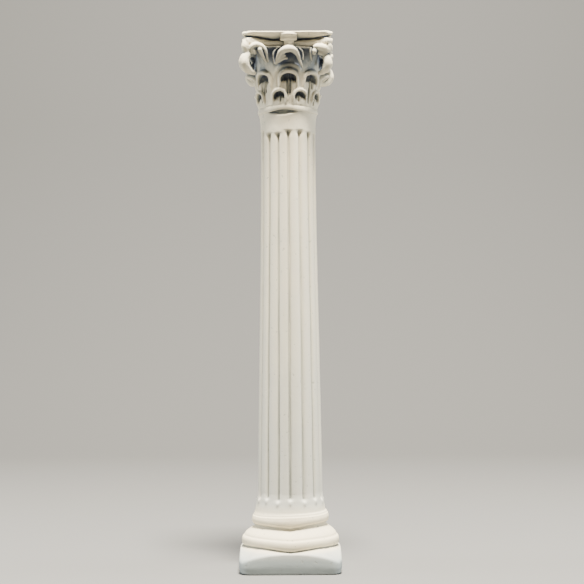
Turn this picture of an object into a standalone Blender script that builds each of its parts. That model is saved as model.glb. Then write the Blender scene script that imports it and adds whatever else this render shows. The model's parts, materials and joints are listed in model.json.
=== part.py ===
"""Plaster column.

A small Corinthian column cast in plaster as one piece: square plinth, lower torus, scotia,
upper torus, fluted shaft, collar, leafed bell with corner scrolls, and a hollow-sided abacus.
It stands on its underside, centred on the origin, with +Z up. Sizes are in metres.

The turned and moulded core is one loft of closed rings, from the plinth to the top of the
abacus. Every ring has the same number of points, four for each flute, so that flutes, square
and abacus all run into each other. The leaves, scrolls and bosses are then united with it.
"""
import math

import bpy
from mathutils import Vector

MM = 0.001

# Base: the heights stack from the ground, the projections are measured from the shaft's foot
PLINTH_HEIGHT = 10.8 * MM
PLINTH_PROJECTION = 0.75 * MM          # beyond the lower torus
PLINTH_CORNER_RADIUS = 5.2 * MM
PLINTH_CORNER_DROP = 3.4 * MM          # the worn top sinks by this much at each corner
PLINTH_EDGE = 1.3 * MM                 # rounding of its upper and lower edges
LOWER_TORUS_HEIGHT = 5.5 * MM
LOWER_TORUS_PROJECTION = 8.2 * MM
LOWER_TORUS_DEPTH = 1.2 * MM           # how far its roll stands out from its own root
LOWER_TORUS_SAG = 1.5 * MM             # its lower edge hangs to a point amid each side by this much
SCOTIA_HEIGHT = 4.9 * MM
SCOTIA_PROJECTION = 1.6 * MM
UPPER_TORUS_HEIGHT = 5.9 * MM
UPPER_TORUS_PROJECTION = 3.05 * MM
UPPER_TORUS_SAG = 0.8 * MM
SAG_WIDTH = math.radians(26)           # half the width of each sagging stretch
FILLET_HEIGHT = 1.3 * MM
FILLET_PROJECTION = 2.15 * MM
FOOT_FLARE_HEIGHT = 9.6 * MM
FOOT_FLARE = 1.45 * MM

# Shaft
SHAFT_HEIGHT = 183.0 * MM              # the tapering run between foot flare and neck
SHAFT_FOOT_RADIUS = 16.3 * MM
SHAFT_TOP_RADIUS = 13.85 * MM
FLUTES = 15
FLUTE_TURN = math.radians(1.0)         # the front groove stands this far round from the front
FLUTE_DEPTH = 0.75 * MM
FLUTE_SHARE = 0.35                     # groove width as a share of the flutes' pitch
FLUTE_RISE = 2.8 * MM                  # height over which a groove's floor comes up at its foot
FLUTE_HEAD = 1.9 * MM                  # and at its head
FLUTE_FOOT_OVERLAP = 4.8 * MM          # grooves start this far down in the foot flare
FLUTE_HEAD_GAP = 2.4 * MM              # and stop this far below the neck
NECK_HEIGHT = 7.2 * MM
NECK_FLARE = 0.75 * MM
COLLAR_HEIGHT = 4.1 * MM
COLLAR_PROJECTION = 1.4 * MM           # beyond the shaft's top
COLLAR_EDGE = 0.8 * MM

# Bell and abacus
BELL_HEIGHT = 28.6 * MM
BELL_STEP = 0.25 * MM                  # the bell starts this far inside the collar
BELL_FLARE = 2.3 * MM
BELL_CORNER_HEIGHT = 12.6 * MM         # top part of the bell that spreads to the corners
ABACUS_SAG = 5.2 * MM                  # hollow of each side at the foot of the slab
ABACUS_TOP_SAG = 1.6 * MM              # and at its top, where the sides are nearly straight
ABACUS_CORNER_CUT = 3.5 * MM
FASCIA_HEIGHT = 1.9 * MM
FASCIA_SETBACK = 0.7 * MM
ABACUS_ROLL_HEIGHT = 4.2 * MM
ABACUS_EDGE = 1.3 * MM
FLEURON_WIDTH = 9.2 * MM
FLEURON_PROJECTION = 4.0 * MM          # beyond the middle of the abacus side
FLEURON_HANG = 0.5 * MM                # below the fascia
FLEURON_EDGE = 1.2 * MM
FLEURON_TURN = math.radians(1.8)       # the bosses stand this far round from the face's middle

# Leaves: eight in each tier, a palmette on each face, a drooping leaf at each corner. Each
# kind stands a little way round from the abacus.
LEAVES_PER_TIER = 8
LOWER_LEAF_TURN = math.radians(3.5)
UPPER_LEAF_TURN = math.radians(0.5)
PALMETTE_TURN = math.radians(2.5)
LOWER_LEAF_CROWDING = math.radians(7.0)    # the lower leaves are drawn together at the front
LOWER_LEAF_HEIGHT = 7.8 * MM
LOWER_LEAF_WIDTH = 8.2 * MM
LOWER_LEAF_HOOD = 2.2 * MM
LOWER_LEAF_PROJECTION = 3.0 * MM
UPPER_LEAF_HEIGHT = 17.2 * MM
UPPER_LEAF_WIDTH = 10.0 * MM
UPPER_LEAF_HOOD = 2.7 * MM
UPPER_LEAF_PROJECTION = 4.5 * MM
LEAF_RIM_WIDTH = 1.35 * MM
LEAF_RIM_HEIGHT = 1.1 * MM
LEAF_MIDRIB = 0.5 * MM
PALMETTE_HEIGHT = 11.5 * MM
PALMETTE_WIDTH = 8.8 * MM
PALMETTE_FOOT_WIDTH = 14.4 * MM
PALMETTE_HOOD = 4.2 * MM
PALMETTE_RIM_WIDTH = 2.2 * MM
PALMETTE_RIM_HEIGHT = 1.7 * MM
PALMETTE_PROJECTION = 4.6 * MM
CORNER_LEAF_HEIGHT = 10.2 * MM
CORNER_LEAF_WIDTH = 6.0 * MM
CORNER_LEAF_REACH = 10.6 * MM          # from its root in the bell to its tip
CORNER_LEAF_HANG = 3.6 * MM            # its top is this far below the fascia
CORNER_LEAF_OVERHANG = 1.8 * MM        # beyond the corner of the abacus

# Scrolls: two on each face, each a stalk that rises into a spiral and ends in a bead
LEFT_SCROLL_OFFSET = 14.4 * MM         # of its centre from the face's middle
RIGHT_SCROLL_OFFSET = 15.2 * MM
SCROLL_DROP = 3.1 * MM                 # of its centre below the fascia
SCROLL_RADIUS = 4.9 * MM
SCROLL_FLATNESS = 0.8
SCROLL_TURNS = 0.95
SCROLL_BAND_WIDTH = 2.0 * MM
SCROLL_BAND_DEPTH = 3.6 * MM
SCROLL_PROUD = 0.9 * MM
SCROLL_BEAD_SWELL = 0.35               # extra width of the band where it ends in the bead
STALK_FOOT_OFFSET = 8.8 * MM
STALK_HEIGHT = 10.0 * MM

EMBED = 1.2 * MM                       # how far added forms reach into the core
ARC_POINTS = 3                         # points on half a plinth corner
ARCH_STEPS = 6                         # sides of a leaf's arch

PLASTER_COLOR = (0.70, 0.68, 0.62, 1.0)
PLASTER_ROUGHNESS = 0.85

# Radii that follow from the shaft
LOWER_TORUS_RADIUS = SHAFT_FOOT_RADIUS + LOWER_TORUS_PROJECTION
PLINTH_HALF = LOWER_TORUS_RADIUS + PLINTH_PROJECTION
SCOTIA_RADIUS = SHAFT_FOOT_RADIUS + SCOTIA_PROJECTION
UPPER_TORUS_RADIUS = SHAFT_FOOT_RADIUS + UPPER_TORUS_PROJECTION
FILLET_RADIUS = SHAFT_FOOT_RADIUS + FILLET_PROJECTION
COLLAR_RADIUS = SHAFT_TOP_RADIUS + COLLAR_PROJECTION
BELL_FOOT_RADIUS = COLLAR_RADIUS - BELL_STEP
BELL_TOP_RADIUS = BELL_FOOT_RADIUS + BELL_FLARE
ABACUS_HALF = BELL_TOP_RADIUS + ABACUS_SAG

# Levels that follow from the stack of heights
Z_PLINTH = PLINTH_HEIGHT
Z_LOWER_TORUS = Z_PLINTH + LOWER_TORUS_HEIGHT
Z_SCOTIA = Z_LOWER_TORUS + SCOTIA_HEIGHT
Z_UPPER_TORUS = Z_SCOTIA + UPPER_TORUS_HEIGHT
Z_FILLET = Z_UPPER_TORUS + FILLET_HEIGHT
Z_SHAFT_FOOT = Z_FILLET + FOOT_FLARE_HEIGHT
Z_SHAFT_TOP = Z_SHAFT_FOOT + SHAFT_HEIGHT
Z_NECK = Z_SHAFT_TOP + NECK_HEIGHT
Z_COLLAR = Z_NECK + COLLAR_HEIGHT
Z_BELL = Z_COLLAR + BELL_HEIGHT
Z_FASCIA = Z_BELL + FASCIA_HEIGHT
Z_TOP = Z_FASCIA + ABACUS_ROLL_HEIGHT

RING_POINTS = 4 * FLUTES
QUARTER = RING_POINTS // 4
FRONT_POINT = round(0.875 * RING_POINTS - 0.5)


def clamp(value):
    return max(0.0, min(1.0, value))


def ease(share):
    """A smooth step from 0 to 1."""
    share = clamp(share)
    return share * share * (3 - 2 * share)


# Rings of the core
def is_groove(index):
    return (index - FRONT_POINT) % 4 == 0


def ring_angle(index):
    """Direction of a point on a round ring; the two shoulders of each groove are drawn in."""
    step = math.tau / RING_POINTS
    place = (index - FRONT_POINT) % 4
    shoulder = step - FLUTE_SHARE * 2 * step
    shift = {1: -shoulder, 3: shoulder}.get(place, 0.0)
    return -math.pi / 4 + (index + 0.5) * step + shift + FLUTE_TURN


def sag_share(angle):
    """How far an edge hangs in a direction: 1 amid each side of the plinth, 0 well away from it."""
    from_side = abs((angle + math.pi / 4) % (math.pi / 2) - math.pi / 4)
    return max(0.0, 1 - from_side / SAG_WIDTH)


def round_ring(z, radius, groove=0.0, sag=0.0):
    """A circle, with grooves cut in and stretches amid the four sides hanging lower by sag."""
    points = []
    for index in range(RING_POINTS):
        reach = radius - groove if is_groove(index) else radius
        angle = ring_angle(index)
        low = sag * sag_share(angle)
        points.append(Vector((reach * math.cos(angle), reach * math.sin(angle), z - low)))
    return points


def turned(side, x, y, z, turn=0.0):
    """A point of the +X side, turned onto one of the four sides and then a little further."""
    angle = side * math.pi / 2 + turn
    return Vector((x * math.cos(angle) - y * math.sin(angle),
                   x * math.sin(angle) + y * math.cos(angle), z))


def square_ring(z, half, corner, drop=0.0):
    """A square with round corners, which lie lower than the middles of its sides by drop."""
    points = []
    straight = half - corner
    arc_step = math.radians(45) / (ARC_POINTS - 0.5)
    for index in range(RING_POINTS):
        side, place = divmod(index, QUARTER)
        from_end = min(place, QUARTER - 1 - place)
        sign = 1 if 2 * place > QUARTER - 1 else -1
        if from_end < ARC_POINTS:
            turn = math.radians(45) - (from_end + 0.5) * arc_step
            x = straight + corner * math.cos(turn)
            y = sign * (straight + corner * math.sin(turn))
        else:
            last = ARC_POINTS - 1
            x = half
            y = straight * (2 * (place - last) / (QUARTER - 1 - 2 * last) - 1)
        low = drop * (abs(y) / half) ** 3
        points.append(turned(side, x, y, z - low))
    return points


def abacus_depth(lateral, half, sag=ABACUS_SAG):
    """Distance of a hollow side from the axis, at a place along it."""
    end = half - ABACUS_CORNER_CUT / math.sqrt(2)
    return half - sag * (1 - (lateral / end) ** 2)


def abacus_ring(z, half, sag=ABACUS_SAG):
    points = []
    end = half - ABACUS_CORNER_CUT / math.sqrt(2)
    for index in range(RING_POINTS):
        side, place = divmod(index, QUARTER)
        lateral = end * (2 * place / (QUARTER - 1) - 1)
        points.append(turned(side, abacus_depth(lateral, half, sag), lateral, z))
    return points


def blended(first, second, share):
    return [a.lerp(b, share) for a, b in zip(first, second)]


def torus_rings(low, high, root_low, root_high, outer, sag, steps=4):
    """A half-round roll between two levels, without its first ring; its lower edge sags."""
    rings = []
    for step in range(1, steps + 1):
        angle = math.pi * step / steps
        level = (1 - math.cos(angle)) / 2
        root = root_low + (root_high - root_low) * level
        reach = root + (outer - root) * math.sin(angle)
        rings.append(round_ring(low + (high - low) * level, reach, sag=sag * (1 - level)))
    return rings


def shaft_radius(z):
    """Radius of the tapering shaft, with a slight swell."""
    rise = math.sin(math.pi / 2 * clamp((z - Z_SHAFT_FOOT) / SHAFT_HEIGHT))
    return SHAFT_FOOT_RADIUS - (SHAFT_FOOT_RADIUS - SHAFT_TOP_RADIUS) * (rise + rise * rise) / 2


def bell_radius(z):
    """Radius of the round bell behind the leaves."""
    rise = math.sin(math.pi / 2 * clamp((z - Z_COLLAR) / BELL_HEIGHT))
    return BELL_FOOT_RADIUS + BELL_FLARE * rise


def plinth_rings():
    half, edge, corner, drop = PLINTH_HALF, PLINTH_EDGE, PLINTH_CORNER_RADIUS, PLINTH_CORNER_DROP
    return [
        square_ring(0, half - 0.7 * edge, corner),
        square_ring(0.9 * edge, half - 0.25 * edge, corner),
        square_ring(0.45 * PLINTH_HEIGHT, half, corner),
        square_ring(Z_PLINTH - 1.8 * edge, half - 0.2 * edge, corner, 0.5 * drop),
        square_ring(Z_PLINTH - 0.6 * edge, half - 0.75 * edge, corner, drop),
    ]


def base_rings():
    torus_root = LOWER_TORUS_RADIUS - LOWER_TORUS_DEPTH
    foot = Z_PLINTH + LOWER_TORUS_SAG
    rings = [round_ring(foot, torus_root, sag=LOWER_TORUS_SAG)]
    rings += torus_rings(foot, Z_LOWER_TORUS, torus_root, torus_root, LOWER_TORUS_RADIUS,
                         LOWER_TORUS_SAG)
    for share in (1 / 3, 2 / 3, 1):
        sweep = (1 - math.cos(math.pi * share)) / 2
        radius = torus_root + (SCOTIA_RADIUS - torus_root) * sweep
        z = Z_LOWER_TORUS + (SCOTIA_HEIGHT + UPPER_TORUS_SAG) * share
        rings.append(round_ring(z, radius, sag=UPPER_TORUS_SAG * share))
    waist = FILLET_RADIUS - 0.1 * FILLET_HEIGHT
    rings += torus_rings(Z_SCOTIA + UPPER_TORUS_SAG, Z_UPPER_TORUS, SCOTIA_RADIUS, waist,
                         UPPER_TORUS_RADIUS, UPPER_TORUS_SAG)
    rings.append(round_ring(Z_UPPER_TORUS + 0.45 * FILLET_HEIGHT, FILLET_RADIUS))
    rings.append(round_ring(Z_FILLET, SHAFT_FOOT_RADIUS + FOOT_FLARE))
    return rings


def shaft_rings():
    groove_foot = Z_SHAFT_FOOT - FLUTE_FOOT_OVERLAP
    groove_head = Z_SHAFT_TOP - FLUTE_HEAD_GAP
    rings = []
    for z, depth in ((groove_foot, 0), (groove_foot + FLUTE_RISE, FLUTE_DEPTH)):
        share = (Z_SHAFT_FOOT - z) / FOOT_FLARE_HEIGHT
        rings.append(round_ring(z, SHAFT_FOOT_RADIUS + FOOT_FLARE * share, depth))
    low, high = Z_SHAFT_FOOT, groove_head - FLUTE_HEAD
    for share in (0, 1 / 3, 2 / 3, 1):
        z = low + (high - low) * share
        rings.append(round_ring(z, shaft_radius(z), FLUTE_DEPTH))
    rings.append(round_ring(groove_head, shaft_radius(groove_head)))
    for share in (0.5, 1):
        flare = NECK_FLARE * share ** 2.2
        rings.append(round_ring(Z_SHAFT_TOP + NECK_HEIGHT * share, SHAFT_TOP_RADIUS + flare))
    return rings


def capital_rings():
    rings = [
        round_ring(Z_NECK + 0.25 * COLLAR_EDGE, COLLAR_RADIUS - 0.3 * COLLAR_EDGE),
        round_ring(Z_NECK + COLLAR_EDGE, COLLAR_RADIUS),
        round_ring(Z_COLLAR, BELL_FOOT_RADIUS),
    ]
    spread_start = Z_BELL - BELL_CORNER_HEIGHT
    rings.append(round_ring(spread_start, bell_radius(spread_start)))
    for share, spread in ((0.35, 0.34), (0.68, 0.66), (1, 0.88)):
        z = spread_start + BELL_CORNER_HEIGHT * share
        plan = abacus_ring(z, ABACUS_HALF - FASCIA_SETBACK)
        rings.append(blended(round_ring(z, bell_radius(z)), plan, spread))
    edge = ABACUS_EDGE
    rings.append(abacus_ring(Z_BELL + 0.2 * FASCIA_HEIGHT, ABACUS_HALF - FASCIA_SETBACK))
    rings.append(abacus_ring(Z_FASCIA, ABACUS_HALF - FASCIA_SETBACK))
    roll = ((0.25 * edge, 0.15), (0.5 * ABACUS_ROLL_HEIGHT, 0),
            (ABACUS_ROLL_HEIGHT - 0.5 * edge, 0.25), (ABACUS_ROLL_HEIGHT, 1))
    for rise, inset in roll:
        sag = ABACUS_SAG + (ABACUS_TOP_SAG - ABACUS_SAG) * rise / ABACUS_ROLL_HEIGHT
        rings.append(abacus_ring(Z_FASCIA + rise, ABACUS_HALF - inset * edge, sag))
    return rings


def loft(rings):
    """Vertices and faces of a closed body through equal closed rings, bottom to top."""
    count = len(rings[0])
    vertices = [point for ring in rings for point in ring]
    faces = [tuple(reversed(range(count)))]
    for row in range(len(rings) - 1):
        for index in range(count):
            after = (index + 1) % count
            low, high = row * count, (row + 1) * count
            faces.append((low + index, low + after, high + after, high + index))
    top = (len(rings) - 1) * count
    faces.append(tuple(range(top, top + count)))
    return vertices, faces


# Added forms: each returns vertices and faces
def on_face(azimuth, lateral, reach, z):
    """A point at a distance from the axis, moved sideways across the direction azimuth."""
    along = math.sqrt(max(reach * reach - lateral * lateral, 0.0))
    return Vector((along * math.cos(azimuth) - lateral * math.sin(azimuth),
                   along * math.sin(azimuth) + lateral * math.cos(azimuth), z))


# Sections of a leaf's rim, outside to inside. Each has its inset in rim widths, its height
# along the legs in rim heights, its drop at the crown in hood heights and its reach in
# projections of the hood.
RIM_SECTIONS = (
    (0.00, -1.0, 0.30, -0.3),
    (0.08, 0.70, 0.05, 0.38),
    (0.50, 1.00, 0.62, 0.90),
    (0.90, 0.80, 1.15, 0.98),
    (1.08, 0.10, 1.05, 0.12),
)


def hooded_leaf(azimuth, foot, top, width, foot_width, hood, projection, rim_width, rim_height,
                midrib):
    """A leaf like an arched niche: two ridged legs, joined over a recess by a hood that juts."""
    half = width / 2
    spring = top - half
    legs = (0.0, 0.5)
    angles = [math.pi * (step / ARCH_STEPS - 0.5) for step in range(ARCH_STEPS + 1)]

    def leg_half(level):
        return half + (foot_width / 2 - half) * (1 - level) ** 1.5

    def section_point(section, sign, level=None, angle=None):
        inset, leg_rise, drop, reach = section
        if angle is None:
            z = foot + (spring - foot) * level
            sideways = sign * (leg_half(level) - inset * rim_width)
            rise = leg_rise * rim_height if level else -0.3 * rim_height
            if leg_rise < 0:
                rise = -EMBED
        else:
            crown = math.cos(angle)
            z = spring + (half - drop * hood) * crown
            sideways = (half - inset * rim_width) * math.sin(angle)
            rise = (1 - crown) * leg_rise * rim_height + crown * reach * projection
            if leg_rise < 0:
                rise = -EMBED
        return on_face(azimuth, sideways, bell_radius(z) + rise, z)

    vertices = []
    for section in RIM_SECTIONS:
        vertices += [section_point(section, -1, level=level) for level in legs]
        vertices += [section_point(section, 1, angle=angle) for angle in angles]
        vertices += [section_point(section, 1, level=level) for level in reversed(legs)]
    count = 2 * len(legs) + len(angles)
    faces = []
    for row in range(len(RIM_SECTIONS) - 1):
        for index in range(count - 1):
            outer, inner = row * count + index, (row + 1) * count + index
            faces.append((outer, inner, inner + 1, outer + 1))

    inside = (len(RIM_SECTIONS) - 1) * count
    middle = len(vertices)
    rows = count // 2
    for row in range(rows):
        z = vertices[inside + row].z
        rise = midrib if row else -0.3 * rim_height
        vertices.append(on_face(azimuth, 0.0, bell_radius(z) + rise, z))
    for row in range(rows - 1):
        left, right = inside + row, inside + count - 1 - row
        faces.append((left, middle + row, middle + row + 1, left + 1))
        faces.append((middle + row, right, right - 1, middle + row + 1))
    summit = inside + rows
    faces.append((summit - 1, middle + rows - 1, summit))
    faces.append((middle + rows - 1, summit + 1, summit))

    left_foot = [section * count for section in range(len(RIM_SECTIONS))]
    right_foot = [section * count + count - 1 for section in range(len(RIM_SECTIONS))]
    faces.append(tuple(reversed(left_foot + [middle] + right_foot[::-1])))
    faces.append(tuple(range(count)))
    return vertices, faces


def band(points, frames):
    """A closed four-sided band along points; frames give its half-axes across and outward."""
    rings = []
    for point, (across, outward) in zip(points, frames):
        rings.append([point + across + outward, point - across + outward,
                      point - across - outward, point + across - outward])
    return loft(rings)


def ball(centre, axes, segments, rows):
    """An egg shape with the three given half-axes, third axis upright in its rows."""
    vertices = [centre - axes[2]]
    for row in range(1, rows):
        polar = math.pi * row / rows
        for segment in range(segments):
            angle = math.tau * segment / segments
            side = axes[0] * math.cos(angle) + axes[1] * math.sin(angle)
            vertices.append(centre + side * math.sin(polar) - axes[2] * math.cos(polar))
    vertices.append(centre + axes[2])
    last = len(vertices) - 1
    faces = []
    for segment in range(segments):
        after = (segment + 1) % segments
        faces.append((0, 1 + after, 1 + segment))
        for row in range(rows - 2):
            low, high = 1 + row * segments, 1 + (row + 1) * segments
            faces.append((low + segment, low + after, high + after, high + segment))
        top = 1 + (rows - 2) * segments
        faces.append((top + segment, top + after, last))
    return vertices, faces


def scroll(side, sign):
    """A stalk and its spiral, following the hollow plan of one face towards one end."""
    turns, stalk_steps, spiral_steps = SCROLL_TURNS * math.tau, 1, 7
    first_angle = math.radians(200)
    centre_z = Z_BELL - SCROLL_DROP
    offset = RIGHT_SCROLL_OFFSET if sign > 0 else LEFT_SCROLL_OFFSET
    path = []
    for step in range(spiral_steps + 1):
        share = step / spiral_steps
        angle = first_angle - share * turns
        radius = SCROLL_RADIUS * (1 - 0.7 * share)
        lateral = offset + radius * math.cos(angle)
        z = centre_z + SCROLL_FLATNESS * radius * math.sin(angle)
        path.append((lateral, z, math.cos(angle), math.sin(angle), share))
    first = path[0]
    for step in range(stalk_steps):
        share = step / stalk_steps
        lateral = STALK_FOOT_OFFSET + (first[0] - STALK_FOOT_OFFSET) * share
        z = Z_BELL - STALK_HEIGHT + (first[1] - Z_BELL + STALK_HEIGHT) * share
        path.insert(step, (lateral, z, first[2], first[3], share - 1))

    points, frames = [], []
    for lateral, z, out, up, share in path:
        proud = SCROLL_PROUD * share - 0.2 * SCROLL_BAND_DEPTH
        depth = abacus_depth(lateral, ABACUS_HALF) + proud
        points.append(turned(side, depth, sign * lateral, z))
        swell = 1 + SCROLL_BEAD_SWELL * ease((share - 0.75) * 4)
        width = SCROLL_BAND_WIDTH / 2 * swell
        across = turned(side, 0, sign * out * width, up * width)
        frames.append((across * sign, turned(side, SCROLL_BAND_DEPTH / 2, 0, 0)))
    return band(points, frames)


def corner_leaf(side):
    """The drooping leaf under a corner of the abacus."""
    azimuth = math.pi / 4 + side * math.pi / 2
    corner = (2 * ABACUS_HALF - ABACUS_CORNER_CUT / math.sqrt(2)) / math.sqrt(2)
    outward = Vector((math.cos(azimuth), math.sin(azimuth), 0))
    across = Vector((-math.sin(azimuth), math.cos(azimuth), 0))
    centre = outward * (corner + CORNER_LEAF_OVERHANG - CORNER_LEAF_REACH / 2)
    centre.z = Z_BELL - CORNER_LEAF_HANG - CORNER_LEAF_HEIGHT / 2
    return ball(centre, (outward * (CORNER_LEAF_REACH / 2), across * (CORNER_LEAF_WIDTH / 2),
                         Vector((0, 0, CORNER_LEAF_HEIGHT / 2))), segments=8, rows=6)


def fleuron(side):
    """The boss in the middle of an abacus side: a block with a rounded front."""
    half, edge = FLEURON_WIDTH / 2, FLEURON_EDGE
    front = BELL_TOP_RADIUS + FLEURON_PROJECTION
    low, high = Z_BELL - FLEURON_HANG, Z_TOP - 0.1 * edge
    outline = [(-half, 0), (half, 0), (half, 1), (half - edge, 2), (-half + edge, 2), (-half, 1)]
    depths = (BELL_TOP_RADIUS - 2 * EMBED, front - edge, front)
    rings = []
    for z, shrink in ((low, edge), (low + edge, 0), (high - edge, 0), (high, edge)):
        ring = []
        for lateral, place in outline:
            sideways = lateral - math.copysign(0.5 * shrink, lateral)
            depth = depths[place] - (shrink if place else 0)
            ring.append(turned(side, depth, sideways, z, FLEURON_TURN))
        rings.append(ring)
    return loft([list(reversed(ring)) for ring in rings])


# Objects
def plaster_material():
    material = bpy.data.materials.new("plaster")
    material.use_nodes = True
    shader = material.node_tree.nodes["Principled BSDF"]
    shader.inputs["Base Color"].default_value = PLASTER_COLOR
    shader.inputs["Roughness"].default_value = PLASTER_ROUGHNESS
    shader.inputs["Metallic"].default_value = 0.0
    material.diffuse_color = PLASTER_COLOR
    return material


def add_object(name, shapes):
    """One object from one or more closed shapes."""
    vertices, faces = [], []
    for shape_vertices, shape_faces in shapes:
        start = len(vertices)
        vertices += shape_vertices
        faces += [tuple(start + index for index in face) for face in shape_faces]
    mesh = bpy.data.meshes.new(name)
    mesh.from_pydata([tuple(point) for point in vertices], [], faces)
    mesh.validate()
    thing = bpy.data.objects.new(name, mesh)
    bpy.context.scene.collection.objects.link(thing)
    return thing


def unite(body, name, shapes):
    """Unites the body with shapes that are kept as a guide object."""
    guide = add_object(name, shapes)
    guide.hide_render = True
    guide.display_type = "WIRE"
    union = body.modifiers.new(name, "BOOLEAN")
    union.operation = "UNION"
    union.solver = "EXACT"
    union.object = guide


def tier(first, turn, crowding, foot, height, width, hood, projection):
    """A tier of leaves around the bell; foot and height are measured from the collar's top."""
    leaves = []
    for index in range(LEAVES_PER_TIER):
        from_front = (first + index) * math.tau / LEAVES_PER_TIER
        azimuth = from_front - crowding * math.sin(from_front) - math.pi / 2 + turn
        leaves.append(hooded_leaf(azimuth, Z_COLLAR + foot, Z_COLLAR + height, width, width, hood,
                                  projection, LEAF_RIM_WIDTH, LEAF_RIM_HEIGHT, LEAF_MIDRIB))
    return leaves


def palmette(side):
    top = Z_BELL + 0.1 * FASCIA_HEIGHT
    return hooded_leaf(side * math.pi / 2 + PALMETTE_TURN, top - PALMETTE_HEIGHT, top,
                       PALMETTE_WIDTH, PALMETTE_FOOT_WIDTH, PALMETTE_HOOD, PALMETTE_PROJECTION,
                       PALMETTE_RIM_WIDTH, PALMETTE_RIM_HEIGHT, 0.1 * PALMETTE_RIM_HEIGHT)


def build():
    for thing in list(bpy.data.objects):
        bpy.data.objects.remove(thing, do_unlink=True)

    core = loft(plinth_rings() + base_rings() + shaft_rings() + capital_rings())
    column = add_object("plaster_column", [core])
    column.data.materials.append(plaster_material())
    column.data.shade_smooth()
    column.data.set_sharp_from_angle(angle=math.radians(35))

    sides = range(4)
    unite(column, "upper_leaves",
          tier(0, UPPER_LEAF_TURN, 0, 0.5 * LOWER_LEAF_HEIGHT, UPPER_LEAF_HEIGHT,
               UPPER_LEAF_WIDTH, UPPER_LEAF_HOOD, UPPER_LEAF_PROJECTION))
    unite(column, "lower_leaves",
          tier(0.5, LOWER_LEAF_TURN, LOWER_LEAF_CROWDING, -0.5 * COLLAR_EDGE, LOWER_LEAF_HEIGHT,
               LOWER_LEAF_WIDTH, LOWER_LEAF_HOOD, LOWER_LEAF_PROJECTION))
    unite(column, "palmettes", [palmette(side) for side in sides])
    unite(column, "corner_leaves", [corner_leaf(side) for side in sides])
    unite(column, "scrolls", [scroll(side, sign) for side in sides for sign in (-1, 1)])
    unite(column, "fleurons", [fleuron(side) for side in sides])


build()
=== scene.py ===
"""Plaster column, dressed: the cast's real surface, its finish, and a plain studio round it.

The column is one casting, so it is one piece. Its plinth, base and shaft are a grid of turned
rows whose flutes end in pits and lips. Its capital starts as closed shapes that run through each
other: a turned bell and abacus, and leaves, ribs, scrolls and bosses copied round the axis. A
voxel remesh melts them together, as a mould softens its master. All lengths are in metres.
Directions round the axis are measured from the front (-Y), positive to the right (+X).
"""
import json
import logging
import math
from dataclasses import dataclass, field
from enum import Enum
from typing import Any, Callable, Iterable, Sequence

import bmesh
import bpy
import numpy as np
from mathutils import Matrix, Vector, noise
from mathutils.bvhtree import BVHTree

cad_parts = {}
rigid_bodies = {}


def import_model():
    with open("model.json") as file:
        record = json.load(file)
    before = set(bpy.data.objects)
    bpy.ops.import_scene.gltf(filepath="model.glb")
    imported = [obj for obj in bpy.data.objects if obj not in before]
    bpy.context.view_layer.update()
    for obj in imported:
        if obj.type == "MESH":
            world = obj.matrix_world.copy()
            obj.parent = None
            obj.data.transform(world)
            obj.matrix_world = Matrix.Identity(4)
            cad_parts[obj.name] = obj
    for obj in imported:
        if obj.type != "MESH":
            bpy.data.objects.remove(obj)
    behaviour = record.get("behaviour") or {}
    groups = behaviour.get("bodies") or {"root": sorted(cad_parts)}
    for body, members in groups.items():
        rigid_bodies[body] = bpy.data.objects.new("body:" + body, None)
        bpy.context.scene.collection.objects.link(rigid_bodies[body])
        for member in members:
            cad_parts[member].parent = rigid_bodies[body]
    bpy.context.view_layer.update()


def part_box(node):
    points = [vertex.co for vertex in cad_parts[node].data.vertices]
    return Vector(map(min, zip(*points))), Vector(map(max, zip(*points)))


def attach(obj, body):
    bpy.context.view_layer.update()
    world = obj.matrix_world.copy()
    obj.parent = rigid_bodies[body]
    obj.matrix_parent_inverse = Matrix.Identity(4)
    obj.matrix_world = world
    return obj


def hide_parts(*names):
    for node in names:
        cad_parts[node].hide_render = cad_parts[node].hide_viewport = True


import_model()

MM = 0.001
TAU = math.tau
NODE = "plaster_column"
LOG = logging.getLogger(NODE)

Rows = list[np.ndarray]
Colour = tuple[float, float, float]
Place = tuple[float, float, float]
Band = tuple[float, float, float, float]


def ease(share: np.ndarray | float) -> np.ndarray | float:
    """Returns a smooth step from 0 to 1."""
    share = np.clip(share, 0.0, 1.0)
    return share * share * (3 - 2 * share)


def bump(distance: np.ndarray | float, width: float) -> np.ndarray | float:
    """Returns a bell curve of height 1 that has mostly died away at width."""
    return np.exp(-(distance / width) ** 2)


def wrapped(angle: np.ndarray | float) -> np.ndarray | float:
    """Returns an angle brought into the half turn either side of 0."""
    return (angle + math.pi) % TAU - math.pi


def polar_points(azimuth: np.ndarray, radius: np.ndarray, z: np.ndarray) -> np.ndarray:
    """Returns points from directions round the axis, distances from it and heights."""
    columns = np.broadcast_arrays(radius * np.sin(azimuth), -radius * np.cos(azimuth), z)
    return np.stack(columns, axis=-1)


def new_mesh(name: str, points: Sequence, faces: Sequence,
             edges: Sequence = ()) -> bpy.types.Mesh:
    """Makes a mesh from points, faces and loose edges."""
    mesh = bpy.data.meshes.new(name)
    mesh.from_pydata(points, edges, faces)
    return mesh


def points_of(mesh: bpy.types.Mesh) -> np.ndarray:
    """Returns the places of a mesh's points, one to a row."""
    points = np.empty(3 * len(mesh.vertices), np.float32)
    mesh.vertices.foreach_get("co", points)
    return points.reshape(-1, 3)


def move_points(mesh: bpy.types.Mesh, points: np.ndarray) -> None:
    """Puts a mesh's points at new places."""
    mesh.vertices.foreach_set("co", points.astype(np.float32).ravel())
    mesh.update()


def store(mesh: bpy.types.Mesh, name: str, values: Sequence[float]) -> None:
    """Stores a number at each point of a mesh, as a named attribute."""
    mesh.attributes.new(name, "FLOAT", "POINT").data.foreach_set("value", values)


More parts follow.
